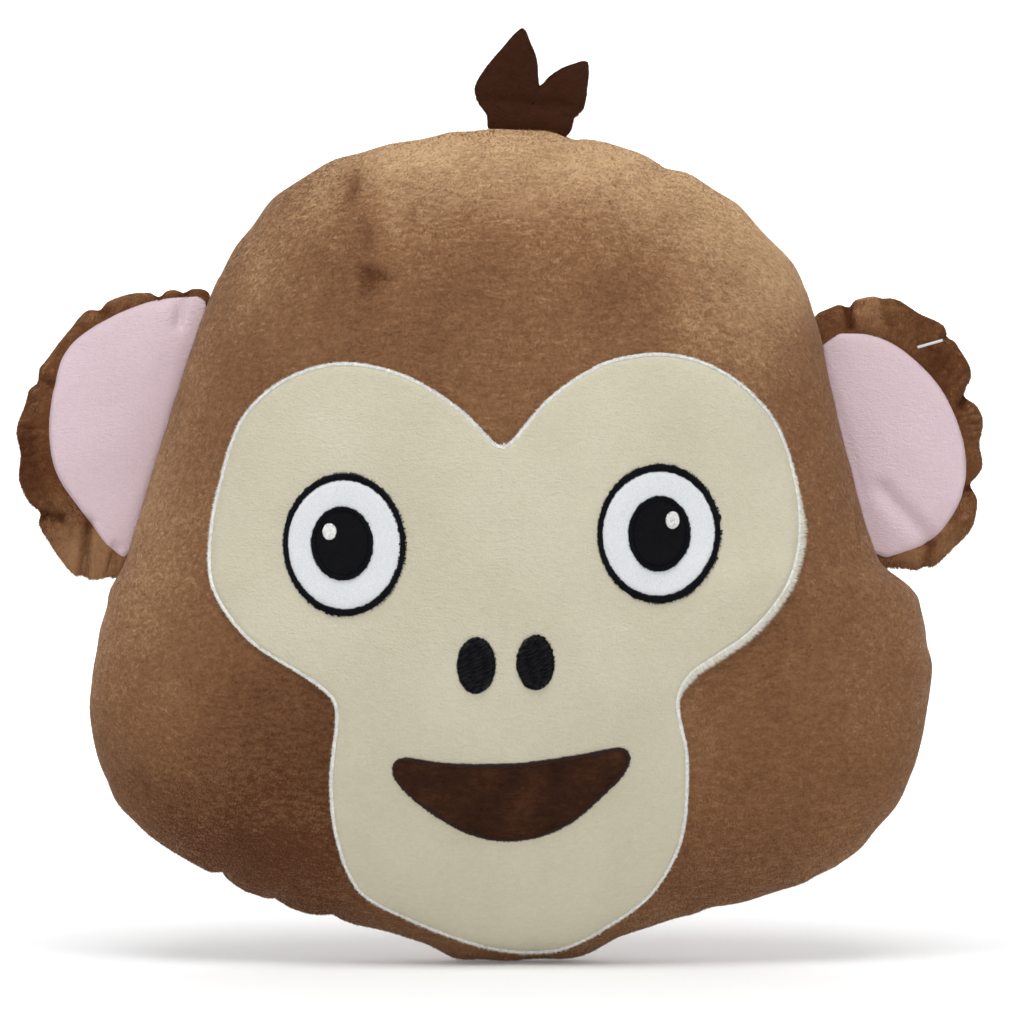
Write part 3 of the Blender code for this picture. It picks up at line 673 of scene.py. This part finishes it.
def plain(name, colour):
    """Plain fibre: each blade of pile is one shade, and shines a little in its own colour."""
    glow = np.array(colour) / max(colour)
    return Paint(name, Base_Color=(*colour, 1), Roughness=0.8, Specular_IOR_Level=0.1,
                 Sheen_Weight=0.45 * max(colour) ** 0.5, Sheen_Roughness=0.4, Sheen_Tint=(*glow, 1)).material


def shades(name, colours, count=7):
    """Fibres of evenly spaced shades through the colours."""
    place = np.linspace(0, len(colours) - 1, count)
    channels = [np.interp(place, range(len(colours)), channel) for channel in zip(*colours)]
    return [plain(f"{name}_{k}", colour) for k, colour in enumerate(zip(*channels))]


def blades(name, root, direction, normal, length, width, shade_of, fibres):
    """One flat blade from each root: a triangle with its foot across its direction."""
    across = unit(np.cross(normal, direction)) * width / 2
    tip = root + direction * length[:, None]
    points = np.stack([root - across, root + across, tip], axis=1).reshape(-1, 3)
    points[:, 2] = np.maximum(points[:, 2], 0)
    mesh = bpy.data.meshes.new(name)
    count = len(root)
    mesh.vertices.add(3 * count)
    mesh.vertices.foreach_set("co", points.astype(np.float32).ravel())
    mesh.loops.add(3 * count)
    mesh.loops.foreach_set("vertex_index", np.arange(3 * count, dtype=np.int32))
    mesh.polygons.add(count)
    mesh.polygons.foreach_set("loop_start", np.arange(0, 3 * count, 3, dtype=np.int32))
    for material in fibres:
        mesh.materials.append(material)
    mesh.polygons.foreach_set("material_index", shade_of.astype(np.int32))
    mesh.update(calc_edges=True)
    return add_object(name, mesh)


def pile(name, obj, count, length, fibres, seed, keep, tone_of=None, lean=0.48):
    """Short pile on a piece: blades that lie downwards along a nap brushed this way and that."""
    rng = np.random.default_rng(seed)
    mesh = obj.data
    mesh.calc_loop_triangles()
    corner = np.zeros(len(mesh.loop_triangles) * 3, np.int32)
    mesh.loop_triangles.foreach_get("vertices", corner)
    corner = corner.reshape(-1, 3)
    place, normal = coordinates(obj), normals_of(obj)
    corner = corner[keep(place[corner].mean(axis=1))]
    a, b, c = (place[corner[:, k]] for k in range(3))
    area = np.linalg.norm(np.cross(b - a, c - a), axis=1)
    pick = rng.choice(len(corner), count, p=area / area.sum())
    u, v = rng.random(count), rng.random(count)
    u, v = np.where(u + v > 1, 1 - u, u), np.where(u + v > 1, 1 - v, v)
    weight = np.stack([1 - u - v, u, v], axis=1)[:, :, None]
    root = (place[corner[pick]] * weight).sum(axis=1)
    out = unit((normal[corner[pick]] * weight).sum(axis=1))
    patch_tone = lumps(root, 70, seed + 1) * 0.6 + lumps(root, 22, seed + 2) * 0.4
    sideways = 0.35 * patch_tone + 0.3 * rng.normal(size=count)
    nap = np.stack([sideways, np.zeros(count), -np.ones(count)], axis=1)
    nap = unit(nap - out * (nap * out).sum(axis=1)[:, None])
    lift = np.clip(lean + 0.12 * patch_tone + 0.12 * rng.normal(size=count), 0.15, 0.95)[:, None]
    direction = nap * np.sqrt(1 - lift ** 2) + out * lift
    rows = lumps(root * (0.4, 1, 1), 2.4, seed + 3, 24)
    tone = 0.5 + 0.06 * patch_tone + 0.045 * rng.normal(size=count) + 0.05 * rows
    if tone_of:
        tone += tone_of(root)
    shade_of = np.clip((tone * len(fibres)).astype(int), 0, len(fibres) - 1)
    reach = length * MM * rng.uniform(0.7, 1.2, count)
    return blades(name, root - out * 0.15 * MM, direction, out, reach, PILE_WIDTH, shade_of, fibres)


# ---------------- pieces laid on a surface

def patch(name, loop, surface, lift, material, cells=40, sunk=0.8, edge_width=0.9):
    """Cloth laid on a surface inside a loop, with its edge rounded over and tucked in."""
    centre = (loop.min(axis=0) + loop.max(axis=0)) / 2
    reach = Reach(loop, centre)
    share, turn, quads, edge = disc_grid(cells)
    rings = cells // 2
    ring = np.round(share * rings)
    inset = 1 - edge_width * MM / reach.at(turn)
    share = np.where(ring == rings, 1, ring / (rings - 1) * inset)
    flat = spread(reach, share, turn)
    place, normal = surface.at(flat)
    raised = np.where(ring == rings, lift - sunk, lift) * MM
    top = place + normal * raised[:, None]
    below = place[edge] - normal[edge] * 0.4 * MM
    return new_object(name, np.concatenate([top, below]), walled(quads, edge, len(top)), material)


def tube(route, radius, sides=4):
    """Points and quads of an open tube along a route of points."""
    along = unit(np.gradient(route, axis=0))
    helper = np.array([0.31, 0.57, 0.76])
    across = unit(np.cross(along, helper))
    up = np.cross(across, along)
    turn = np.arange(sides) * 2 * math.pi / sides
    ring = np.cos(turn)[None, :, None] * across[:, None] + np.sin(turn)[None, :, None] * up[:, None]
    points = (route[:, None] + radius * ring).reshape(-1, 3)
    rows = np.arange(len(route) * sides).reshape(-1, sides)
    return points, np.concatenate([band(*pair) for pair in zip(rows, rows[1:])])


def joined(parts):
    """Several (points, faces) as one."""
    points, faces, count = [], [], 0
    for part_points, part_faces in parts:
        points.append(part_points)
        faces.append(part_faces + count)
        count += len(part_points)
    return np.concatenate(points), np.concatenate(faces)


def satin(name, loop, width, surface, lift, material, seed, spacing=0.42, radius=0.2, ragged=0.12):
    """A satin-stitched edge along a loop: threads side by side across it, over a low padded ridge."""
    rng = np.random.default_rng(seed)
    line = even_loop(loop, spacing * MM)
    wide, ragged = (np.interp(np.linspace(0, 1, len(line)), np.linspace(0, 1, np.size(value)),
                              np.atleast_1d(value)) for value in (width, ragged))
    wide = wide * MM
    place, normal = surface.at(line)
    along = unit(np.roll(place, -1, axis=0) - np.roll(place, 1, axis=0))
    across = np.cross(along, normal)
    profile = [(-0.5, -0.25), (-0.36, 0.22), (0.0, 0.42), (0.36, 0.22), (0.5, -0.25)]
    parts = []
    for k in range(len(line)):
        ends = wide[k] * (1 + ragged[k] * rng.uniform(-1, 1, 2))
        slant = along[k] * rng.normal(0.12, 0.06) * MM
        route = np.array([place[k] + across[k] * u * ends[int(u > 0)] + slant * u * 2
                          + normal[k] * (lift + h + rng.normal(0, 0.03)) * MM for u, h in profile])
        parts.append(tube(route, radius * MM * rng.uniform(0.88, 1.1)))
    ridge = [place + across * (u * 0.92 * wide)[:, None] + normal * (lift + h - 0.04) * MM
             for u, h in profile]
    rows = np.arange(len(profile) * len(line)).reshape(len(profile), -1)
    parts.append((np.concatenate(ridge), np.concatenate([band(*pair) for pair in zip(rows, rows[1:])])))
    points, faces = joined(parts)
    points[:, 2] = np.maximum(points[:, 2], 0)
    return new_object(name, points, faces, material)


def satin_fill(name, loop, surface, lift, material, seed, slant, spacing, radius=0.2, longest=5.0,
               ragged=0.45):
    """An area filled with rows of satin stitches."""
    rng = np.random.default_rng(seed)
    centre = (loop.min(axis=0) + loop.max(axis=0)) / 2
    ray = np.array([math.cos(slant), math.sin(slant)])
    square = np.array([-ray[1], ray[0]])
    rows, runs = (loop - centre) @ square, (loop - centre) @ ray
    parts = []
    for height in np.arange(rows.min() + 0.2 * MM, rows.max() - 0.1 * MM, spacing * MM):
        nearby = np.nonzero((rows - height) * (np.roll(rows, -1) - height) <= 0)[0]
        ends = []
        for k in nearby:
            after = (k + 1) % len(loop)
            share = (height - rows[k]) / (rows[after] - rows[k] + 1e-15)
            ends.append(runs[k] + share * (runs[after] - runs[k]))
        if len(ends) < 2:
            continue
        start, end = min(ends), max(ends)
        start -= rng.uniform(-0.4, 1) * ragged * MM
        end += rng.uniform(-0.4, 1) * ragged * MM
        stitches = max(1, math.ceil((end - start) / (longest * MM)))
        breaks = np.linspace(start, end, stitches + 1)
        breaks[1:-1] += rng.uniform(-0.8, 0.8, stitches - 1) * MM
        for here, there in zip(breaks, breaks[1:]):
            place = np.linspace(here, there, 5)
            flat = centre + place[:, None] * ray + height * square
            point, normal = surface.at(flat)
            rise = np.array([-0.15, 0.3, 0.38, 0.3, -0.15]) + rng.normal(0, 0.03)
            route = point + normal * (lift + rise)[:, None] * MM
            parts.append(tube(route, radius * MM * rng.uniform(0.9, 1.1)))
    return new_object(name, *joined(parts), material)


def fringe(name, loop, surface, where, count, length, fibres, seed):
    """Loose pile that stands out past an edge, in the directions that where (degrees, degrees) names."""
    rng = np.random.default_rng(seed)
    centre = (loop.min(axis=0) + loop.max(axis=0)) / 2
    turn = np.degrees(turns_of(loop, centre)[0])
    within = np.max([np.minimum(turn - low, high - turn) for low, high in where], axis=0)
    pick = rng.choice(np.nonzero(within > 0)[0], count)
    out = (grown(loop, 1 * MM) - loop)[pick] / MM
    flat = loop[pick] + out * rng.uniform(-0.6, 0.2, count)[:, None] * MM
    root, normal = surface.at(flat)
    direction = np.stack([out[:, 0], np.zeros(count), out[:, 1]], axis=1)
    direction += 0.3 * rng.normal(size=(count, 3))
    direction = unit(direction + normal * rng.uniform(0.1, 0.5, count)[:, None])
    reach = length * MM * rng.uniform(0.5, 1.2, count) * np.clip(within[pick] / 9, 0.3, 1)
    return blades(name, root + normal * rng.uniform(0.3, 1.2, count)[:, None] * MM, direction, normal, reach,
                  LOOSE_WIDTH, rng.integers(0, len(fibres), count), fibres)


def stands_for(piece, slot_name, *nodes):
    """The piece rides the head in the place of CAD nodes, which it hides. slot_name is not used."""
    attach(piece, "head")
    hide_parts(*nodes)
    return piece


# ---------------- the face

# Where the face panel's pile shows outside its stitch, in degrees about the panel's middle
FRAYED = [(-16, 32)]


def face(surface):
    outline = outline_of("face_border_stitch")
    edge = grown(even_loop(outline, 1.0 * MM), -0.75 * MM)
    panel = patch("face_cloth", edge, surface, 1.1, "beige", cells=72, sunk=0.9)
    stands_for(panel, "beige_plush", "face_panel")
    border = satin("face_border_satin", edge, 1.2, surface, 0.75, "white_thread", seed=3,
                   spacing=0.38, ragged=0.3)
    on_edge = [stands_for(border, "white_stitch", "face_border_stitch")]
    fine = even_loop(grown(outline, -0.5 * MM), 0.3 * MM)
    for name, where, count, length, seed in (("face_edge_fuzz", [(-190, 190)], 9000, 0.9, 71),
                                             ("face_edge_fringe", FRAYED, 4200, 2.6, 72)):
        loose = fringe(name, fine, surface, where, count, length, EDGE_FIBRES, seed)
        on_edge.append(stands_for(loose, "beige_plush", "face_panel"))


def eye(side, surface, seed):
    """The white, its outline, the pupil with its raised edge, and the spot of light on it."""
    centre = middle_of(f"{side}_eye_outline")
    outer = outline_of(f"{side}_eye_outline")
    white = outline_of(f"{side}_eye_white", centre)
    cloth = patch(f"{side}_eye_cloth", grown(even_loop(white, 1 * MM), 0.6 * MM), surface, 1.7,
                  "white_felt", cells=28, sunk=0.6)
    stands_for(cloth, "white_felt", f"{side}_eye_white")
    turn = np.linspace(0, 2 * math.pi, 240, endpoint=False)
    inner, outer = Reach(white, centre).at(turn), Reach(outer, centre).at(turn)
    line = centre + ((inner + outer) / 2)[:, None] * facing(turn)
    ring = satin(f"{side}_eye_ring", line, (outer - inner) / MM - 0.25, surface, 1.5, "black_thread",
                 seed, spacing=0.4, ragged=0.34 + 0.4 * np.clip(np.cos(turn), 0, 1) ** 2)
    stands_for(ring, "black_stitch", f"{side}_eye_outline")
    pupil = outline_of(f"{side}_pupil")
    cloth = patch(f"{side}_pupil_cloth", grown(even_loop(pupil, 1 * MM), 0.5 * MM), surface, 2.3,
                  "black_felt", cells=20, sunk=0.5)
    stands_for(cloth, "black_felt", f"{side}_pupil")
    line = grown(even_loop(outline_of(f"{side}_pupil_stitch"), 1 * MM), -0.85 * MM)
    ring = satin(f"{side}_pupil_ring", line, 1.7, surface, 2.1, "black_thread", seed + 1,
                 spacing=0.4, ragged=0.3)
    stands_for(ring, "black_stitch", f"{side}_pupil_stitch")
    spot = even_loop(grown(outline_of(f"{side}_eye_highlight"), -0.3 * MM), 0.4 * MM)
    fill = satin_fill(f"{side}_eye_spot", spot, surface, 2.5, "white_thread", seed + 2,
                      slant=1.2, spacing=0.34, ragged=0.1)
    stands_for(fill, "white_stitch", f"{side}_eye_highlight")


def nostril(side, surface, seed):
    loop = even_loop(outline_of(f"{side}_nostril"), 0.5 * MM)
    fill = satin_fill(f"{side}_nostril_satin", loop, surface, 1.5, "black_thread", seed,
                      slant=0.5, spacing=0.34)
    stands_for(fill, "black_stitch", f"{side}_nostril")


def mouth(surface):
    edge = grown(even_loop(outline_of("mouth_border_stitch"), 0.8 * MM), -0.8 * MM)
    cloth = patch("mouth_cloth", edge, surface, 1.8, "mouth", cells=40, sunk=0.6)
    stands_for(cloth, "dark_brown_plush", "mouth_panel")
    border = satin("mouth_border_satin", edge, 1.6, surface, 1.4, "dark_thread", seed=31,
                   ragged=0.35)
    stands_for(border, "dark_brown_stitch", "mouth_border_stitch")


# ---------------- ears and tuft

def joint_of(name):
    joint = next(j for j in frame["joints"] if j["name"] == name)
    return np.array(joint["pos_m"]), np.array(joint["axis"])


def bend_with(piece, joint, nodes):
    """Bakes the piece's transform into its mesh and hides the CAD nodes it stands for. The direction out from
    the joint's root towards the piece is worked out, but nothing uses it.
    """
    place, axis = joint_of(joint)
    out = np.cross(axis, (0, 1, 0))
    towards = (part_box(nodes[0])[0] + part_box(nodes[0])[1]) / 2
    if out @ (np.array(towards) - place) < 0:
        out = -out
    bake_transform(piece)
    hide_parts(*nodes)
    return piece


# Creases in each ear, from point to point in shares of the ear's box: (start, end, depth, width in mm). Each
# crease is also painted darker along its line, a painted shade.
CREASES = {
    "left": [((0.40, 0.20), (0.36, -0.02), 2.4, 2.2), ((0.03, 0.24), (0.24, 0.225), 2.0, 2.2),
             ((0.08, 0.68), (0.18, 0.67), 1.6, 2.5), ((0.36, 0.96), (0.49, 0.905), 1.5, 2.2),
             ((0.79, 1.0), (0.79, 0.95), 1.6, 2.0), ((0.93, 0.98), (0.905, 0.86), 1.6, 1.8),
             ((0.55, 0.12), (0.52, 0.02), 1.4, 1.8)],
    "right": [((0.12, 0.97), (0.14, 0.885), 2.4, 1.8), ((0.95, 0.66), (0.86, 0.60), 2.0, 2.4),
              ((1.0, 0.33), (0.91, 0.29), 1.8, 2.2), ((0.35, 0.29), (0.64, 0.115), 1.3, 3.5),
              ((0.74, 0.84), (0.79, 0.85), 1.3, 2.0), ((0.35, 0.98), (0.40, 0.90), 0.9, 2.5),
              ((0.62, 0.0), (0.66, 0.09), 1.2, 2.0)],
}


def from_line(flat, start, end):
    """Distance of each (x, z) point from a straight line between two points."""
    along = end - start
    share = np.clip((flat - start) @ along / (along @ along), 0, 1)
    return np.linalg.norm(flat - start - share[:, None] * along, axis=1)


def root_direction(name, towards):
    """The joint's place, and the direction in (x, z) square to its axis towards the piece."""
    place, axis = joint_of(name)
    out = np.cross(axis, (0, 1, 0))[[0, 2]]
    return place[[0, 2]], out * np.sign(out @ (towards - place[[0, 2]]))


def run_into_seam(loop, place, out, within=7 * MM, share=0.982):
    """The loop with its root side carried on into the head's seam."""
    from_root = (loop - place) @ out
    steps = np.arange(0, 16, 0.5) * MM
    need = np.zeros(len(loop))
    for k in np.nonzero(from_root < within)[0]:
        shares = HEAD_REACH.share(loop[k] - out * steps[:, None])
        need[k] = steps[np.argmax(shares < share)]
    ease = np.clip(1 - from_root / within, 0, 1)
    ease = ease * ease * (3 - 2 * ease)
    return loop - out * (need * np.minimum(1, 1.6 * ease))[:, None]


def ear_loops(side, place, out, seed):
    """The outlines of the ear and of its pink panel, both carried on into the head's seam."""
    node = f"{side}_ear_back"
    centre = middle_of(node)
    loop = run_into_seam(even_loop(outline_of(node), 1.2 * MM), place, out)
    turn, far = turns_of(loop, centre)
    free = np.clip(((loop - place) @ out - 4 * MM) / (12 * MM), 0, 1)
    loop = centre + (loop - centre) * (1 + ripple(turn, seed, (8, 14)) * 0.5 * MM * free / far)[:, None]
    inner = even_loop(outline_of(f"{side}_ear_inner"), 1 * MM)
    return loop, even_loop(hull(run_into_seam(inner, place, out)), 1 * MM)


def ear_relief(side, at, share, pink_share, from_root, seed):
    """How far (mm) the ear's plush swells at each point, and how light it shows there, with painted shade in
    its creases.
    """
    node = f"{side}_ear_back"
    flat = flat_of(at)
    turn, _ = turns_of(flat, middle_of(node))
    past_pink = np.clip((pink_share - 1) * 40 * MM / (9 * MM), 0, 1)
    free = np.clip((from_root - 2 * MM) / (9 * MM), 0, 1)
    front = at[:, 1] < SEAM_Y
    rim = np.where(front, past_pink, np.clip(share - 0.6, 0, 0.4) / 0.4)
    within = np.clip((0.985 - share) / 0.04, 0, 1)
    ribs = 0.35 * within * ripple(turn, seed + 3, (36, 60)) + 0.5 * ripple(turn, seed + 4, (9, 16))
    swell = rim * free * (ribs + 1.2 * front * np.sin(math.pi * past_pink))
    swell -= 1.1 * front * free * bell((pink_share - 1) * 40 * MM, 1.6 * MM)
    swell += 0.25 * lumps(at, 24, seed + 5) * free
    low, high = (corner[[0, 2]] for corner in corners(node))
    tone = pile_tone_and_painted_light(at, node)
    for start, end, sunk, width in CREASES[side]:
        away = from_line(flat, *(low + np.array(place) * (high - low) for place in (start, end)))
        swell -= 1.4 * sunk * bell(away, width * MM)
        # Painted shade: the pile is darkened along each crease
        tone -= 0.16 * sunk * bell(away, 0.8 * width * MM)
    return swell * np.where(share > 0.995, 0.6, 1), tone


def ear(side, seed):
    node = f"{side}_ear_back"
    joint, body = f"{side}_ear_flop", f"{side}_ear"
    place, out = root_direction(joint, middle_of(node))
    loop, inner = ear_loops(side, place, out, seed)
    reach = Reach(loop, middle_of(node))
    pink_reach = Reach(inner, (inner.min(axis=0) + inner.max(axis=0)) / 2)
    rise = corners(node)[1][1] - SEAM_Y

    def height(flat, share):
        depth = np.clip((flat - place) @ out + 3 * MM, 0.5 * MM, None)
        return rise * crown(share) * depth / (depth + 8 * MM)

    points, faces, edge = two_sided(reach, cells=30, width=45 * MM, rise=rise, height_of=height)
    made = new_object(f"{side}_ear_cushion", points, faces, "ear")
    stuff(made, edge, slack=1.04, pressure=3.0, cap=3.5 * MM)
    subdivide(made, 2)
    at, normal = coordinates(made), normals_of(made)
    flat = flat_of(at)
    swell, tone = ear_relief(side, at, reach.share(flat), pink_reach.share(flat), (flat - place) @ out, seed)
    at += normal * swell[:, None] * MM
    if side == "right":
        low, high = corners("tag_fastener")
        close = inside(flat, "tag_fastener", 2 * MM)
        at[close, 1] = np.clip(at[close, 1], low[1] + 0.9 * MM, high[1] - 0.8 * MM)
    put(made, at)
    # The ear's tone, with the painted shade in its creases, goes to the material and to the pile
    carry(made, tone)
    pink = patch(f"{side}_ear_pink", inner, Surface(made), 0.55, "pink", cells=76, sunk=1.0)
    nearest = KDTree(len(at))
    for k, point in enumerate(at):
        nearest.insert(point, k)
    nearest.balance()
    fluff = pile(f"{side}_ear_pile", made, 45000, 1.5, EAR_FIBRES, seed + 6,
                 lambda p: (pink_reach.share(flat_of(p)) > 1.0) | (p[:, 1] > SEAM_Y),
                 lambda p: tone[[nearest.find(point)[1] for point in p]])
    bend_with(made, joint, [node, f"{side}_ear_front_rim", f"{side}_ear_filling"])
    bend_with(fluff, joint, [node])
    bend_with(pink, joint, [f"{side}_ear_inner"])


def tuft():
    """Two pointed lobes of thin dark plush, front and back, creased across their foot."""
    centre = middle_of("tuft_front", 0.18)
    place, out = root_direction("tuft_flop", centre)
    loop = even_loop(outline_of("tuft_front", centre), 0.6 * MM)
    from_root = (loop - place) @ out
    foot = np.clip(1 - from_root / (2.5 * MM), 0, 1)
    middle = centre[0]
    loop = loop - out * (6 * MM * foot)[:, None]
    loop[:, 0] = middle + (loop[:, 0] - middle) * (1 - 0.12 * foot)
    reach = Reach(loop, centre)
    for name, side in (("tuft_front", -1), ("tuft_back", 1)):
        share, turn, quads, edge = disc_grid(44)
        flat = spread(reach, share, turn)
        up = (flat - place) @ out / MM
        bulge = 0.5 + 2.4 * np.clip(1 - share ** 2, 0, 1) ** 0.6
        bulge -= 1.5 * bell(up - 7, 2.6) * np.clip(1 - share, 0, 1) ** 0.3
        lean = -0.9 * np.clip(up / 30, 0, 1) ** 2 * np.cos((flat[:, 0] - middle) / (9 * MM))
        y = SEAM_Y + (side * bulge + lean) * MM
        top = np.stack([flat[:, 0], y, flat[:, 1]], axis=1)
        under = np.stack([flat[:, 0], SEAM_Y + lean * MM, flat[:, 1]], axis=1)[edge]
        faces = walled(quads, edge, len(top))
        if side > 0:
            faces = faces[:, ::-1]
        layer = new_object(f"{name}_cloth", np.concatenate([top, under]), faces, "tuft")
        fluff = pile(f"{name}_pile", layer, 9000, 1.0, TUFT_FIBRES, 61 + side, lambda p: p[:, 0] > -1)
        for piece in (layer, fluff):
            bend_with(piece, "tuft_flop", [name])


# ---------------- stage, light and camera

def area_light(name, place, aim, size, power):
    light = bpy.data.lights.new(name, "AREA")
    light.shape = "RECTANGLE"
    light.size, light.size_y = size
    light.energy = power
    made = add_object(name, light)
    made.location = place
    made.rotation_euler = (Vector(aim) - Vector(place)).to_track_quat("-Z", "Y").to_euler()


def stage():
    """A wide pale floor, and a wall that curves round behind the cushion, lit whiter further back."""
    paint = Paint("pale_floor", Roughness=0.9, Base_Color=(0.86, 0.86, 0.86, 1), Emission_Color=(1, 1, 1, 1))
    split = paint.node("SeparateXYZ")
    paint.link(paint.place, split, 0)
    rise = paint.node("MapRange", From_Min=0.0, From_Max=2.0, To_Min=0.1, To_Max=0.75)
    paint.link(split.outputs["Y"], rise, "Value")
    paint.link(rise.outputs[0], paint.shader, "Emission Strength")
    away, curve, top, corner = 2.4, 0.8, 4.0, 6
    profile = [(away, 0.0)]
    profile += [(away + curve * math.sin(a), curve - curve * math.cos(a))
                for a in np.linspace(0.1, math.pi / 2, 10)]
    profile += [(away + curve, top)]
    turn = np.radians(np.linspace(-15, 195, 80))
    steps = len(turn)
    points = [(far * math.cos(t), far * math.sin(t), up) for far, up in profile for t in turn]
    faces = [(k * steps + j, k * steps + j + 1, (k + 1) * steps + j + 1, (k + 1) * steps + j)
             for k in range(len(profile) - 1) for j in range(steps - 1)]
    ground = len(points)
    points += [(x * corner, y * corner, -0.2 * MM) for x, y in ((-1, -1), (1, -1), (1, 1), (-1, 1))]
    faces.append((ground, ground + 1, ground + 2, ground + 3))
    MATERIALS["floor"] = paint.material
    new_object("floor_and_backdrop", points, faces, "floor", smooth=False)
    area_light("key_light", (-0.05, -0.7, 1.7), (0, 0, 0.2), (1.3, 0.9), 22)
    area_light("front_fill", (0.3, -2.2, 0.9), (0, 0, 0.14), (1.6, 1.2), 9)
    world = bpy.data.worlds.new("soft_room")
    world.use_nodes = True
    paint.fill_in(world.node_tree.nodes["Background"], {"Color": (0.96, 0.98, 1, 1), "Strength": 0.3})
    bpy.context.scene.world = world
    bpy.context.scene.view_settings.view_transform = "Standard"


def camera():
    """A long lens looking square at the face from about its middle."""
    low, high = np.array(CAD_BOX)
    distance, picture, aside, up = 1.6, 0.371, 0.00435, 0.1625
    data = bpy.data.cameras.new("camera")
    data.sensor_width = 36
    data.lens = data.sensor_width * distance / picture
    made = add_object("camera", data)
    made.location = ((low[0] + high[0]) / 2 + aside, SEAM_Y - distance, up)
    made.rotation_euler = (math.pi / 2, 0, 0)
    bpy.context.scene.camera = made


camera()
stage()
BROWN_FIBRES = shades("brown_fibre", BROWN, 9)
EAR_FIBRES = shades("ear_fibre", EAR_BROWN)
TUFT_FIBRES = shades("tuft_fibre", TUFT_BROWN, 3)
EDGE_FIBRES = shades("beige_fibre", BEIGE_EDGE, 3)
HEAD = head()
stands_for(HEAD, "brown_plush", "head_front_panel", "head_back_panel", "head_filling")
FRONT = Surface(HEAD)
seam_stitches(FRONT)
FACE_REACH = Reach(outline_of("face_border_stitch"), middle_of("face_border_stitch"))
# Pile on both halves of the head, its blades shaded by the head's tone with its painted light and shade
for half, seed, keep in (("front", 51, lambda p: (p[:, 1] < SEAM_Y) & (FACE_REACH.share(flat_of(p)) > 0.99)),
                         ("back", 54, lambda p: p[:, 1] >= SEAM_Y)):
    fluff = pile(f"head_{half}_pile", HEAD, 185000, 1.2, BROWN_FIBRES, seed, keep, head_tone_and_painted_light)
    stands_for(fluff, "brown_plush", f"head_{half}_panel")
face(FRONT)
for number, side in enumerate(("left", "right")):
    eye(side, FRONT, 10 + 5 * number)
    nostril(side, FRONT, 21 + number)
    ear(side, 41 + number)
mouth(FRONT)
tuft()
NODES["tag_fastener"].data.materials.clear()
NODES["tag_fastener"].data.materials.append(MATERIALS["plastic"])
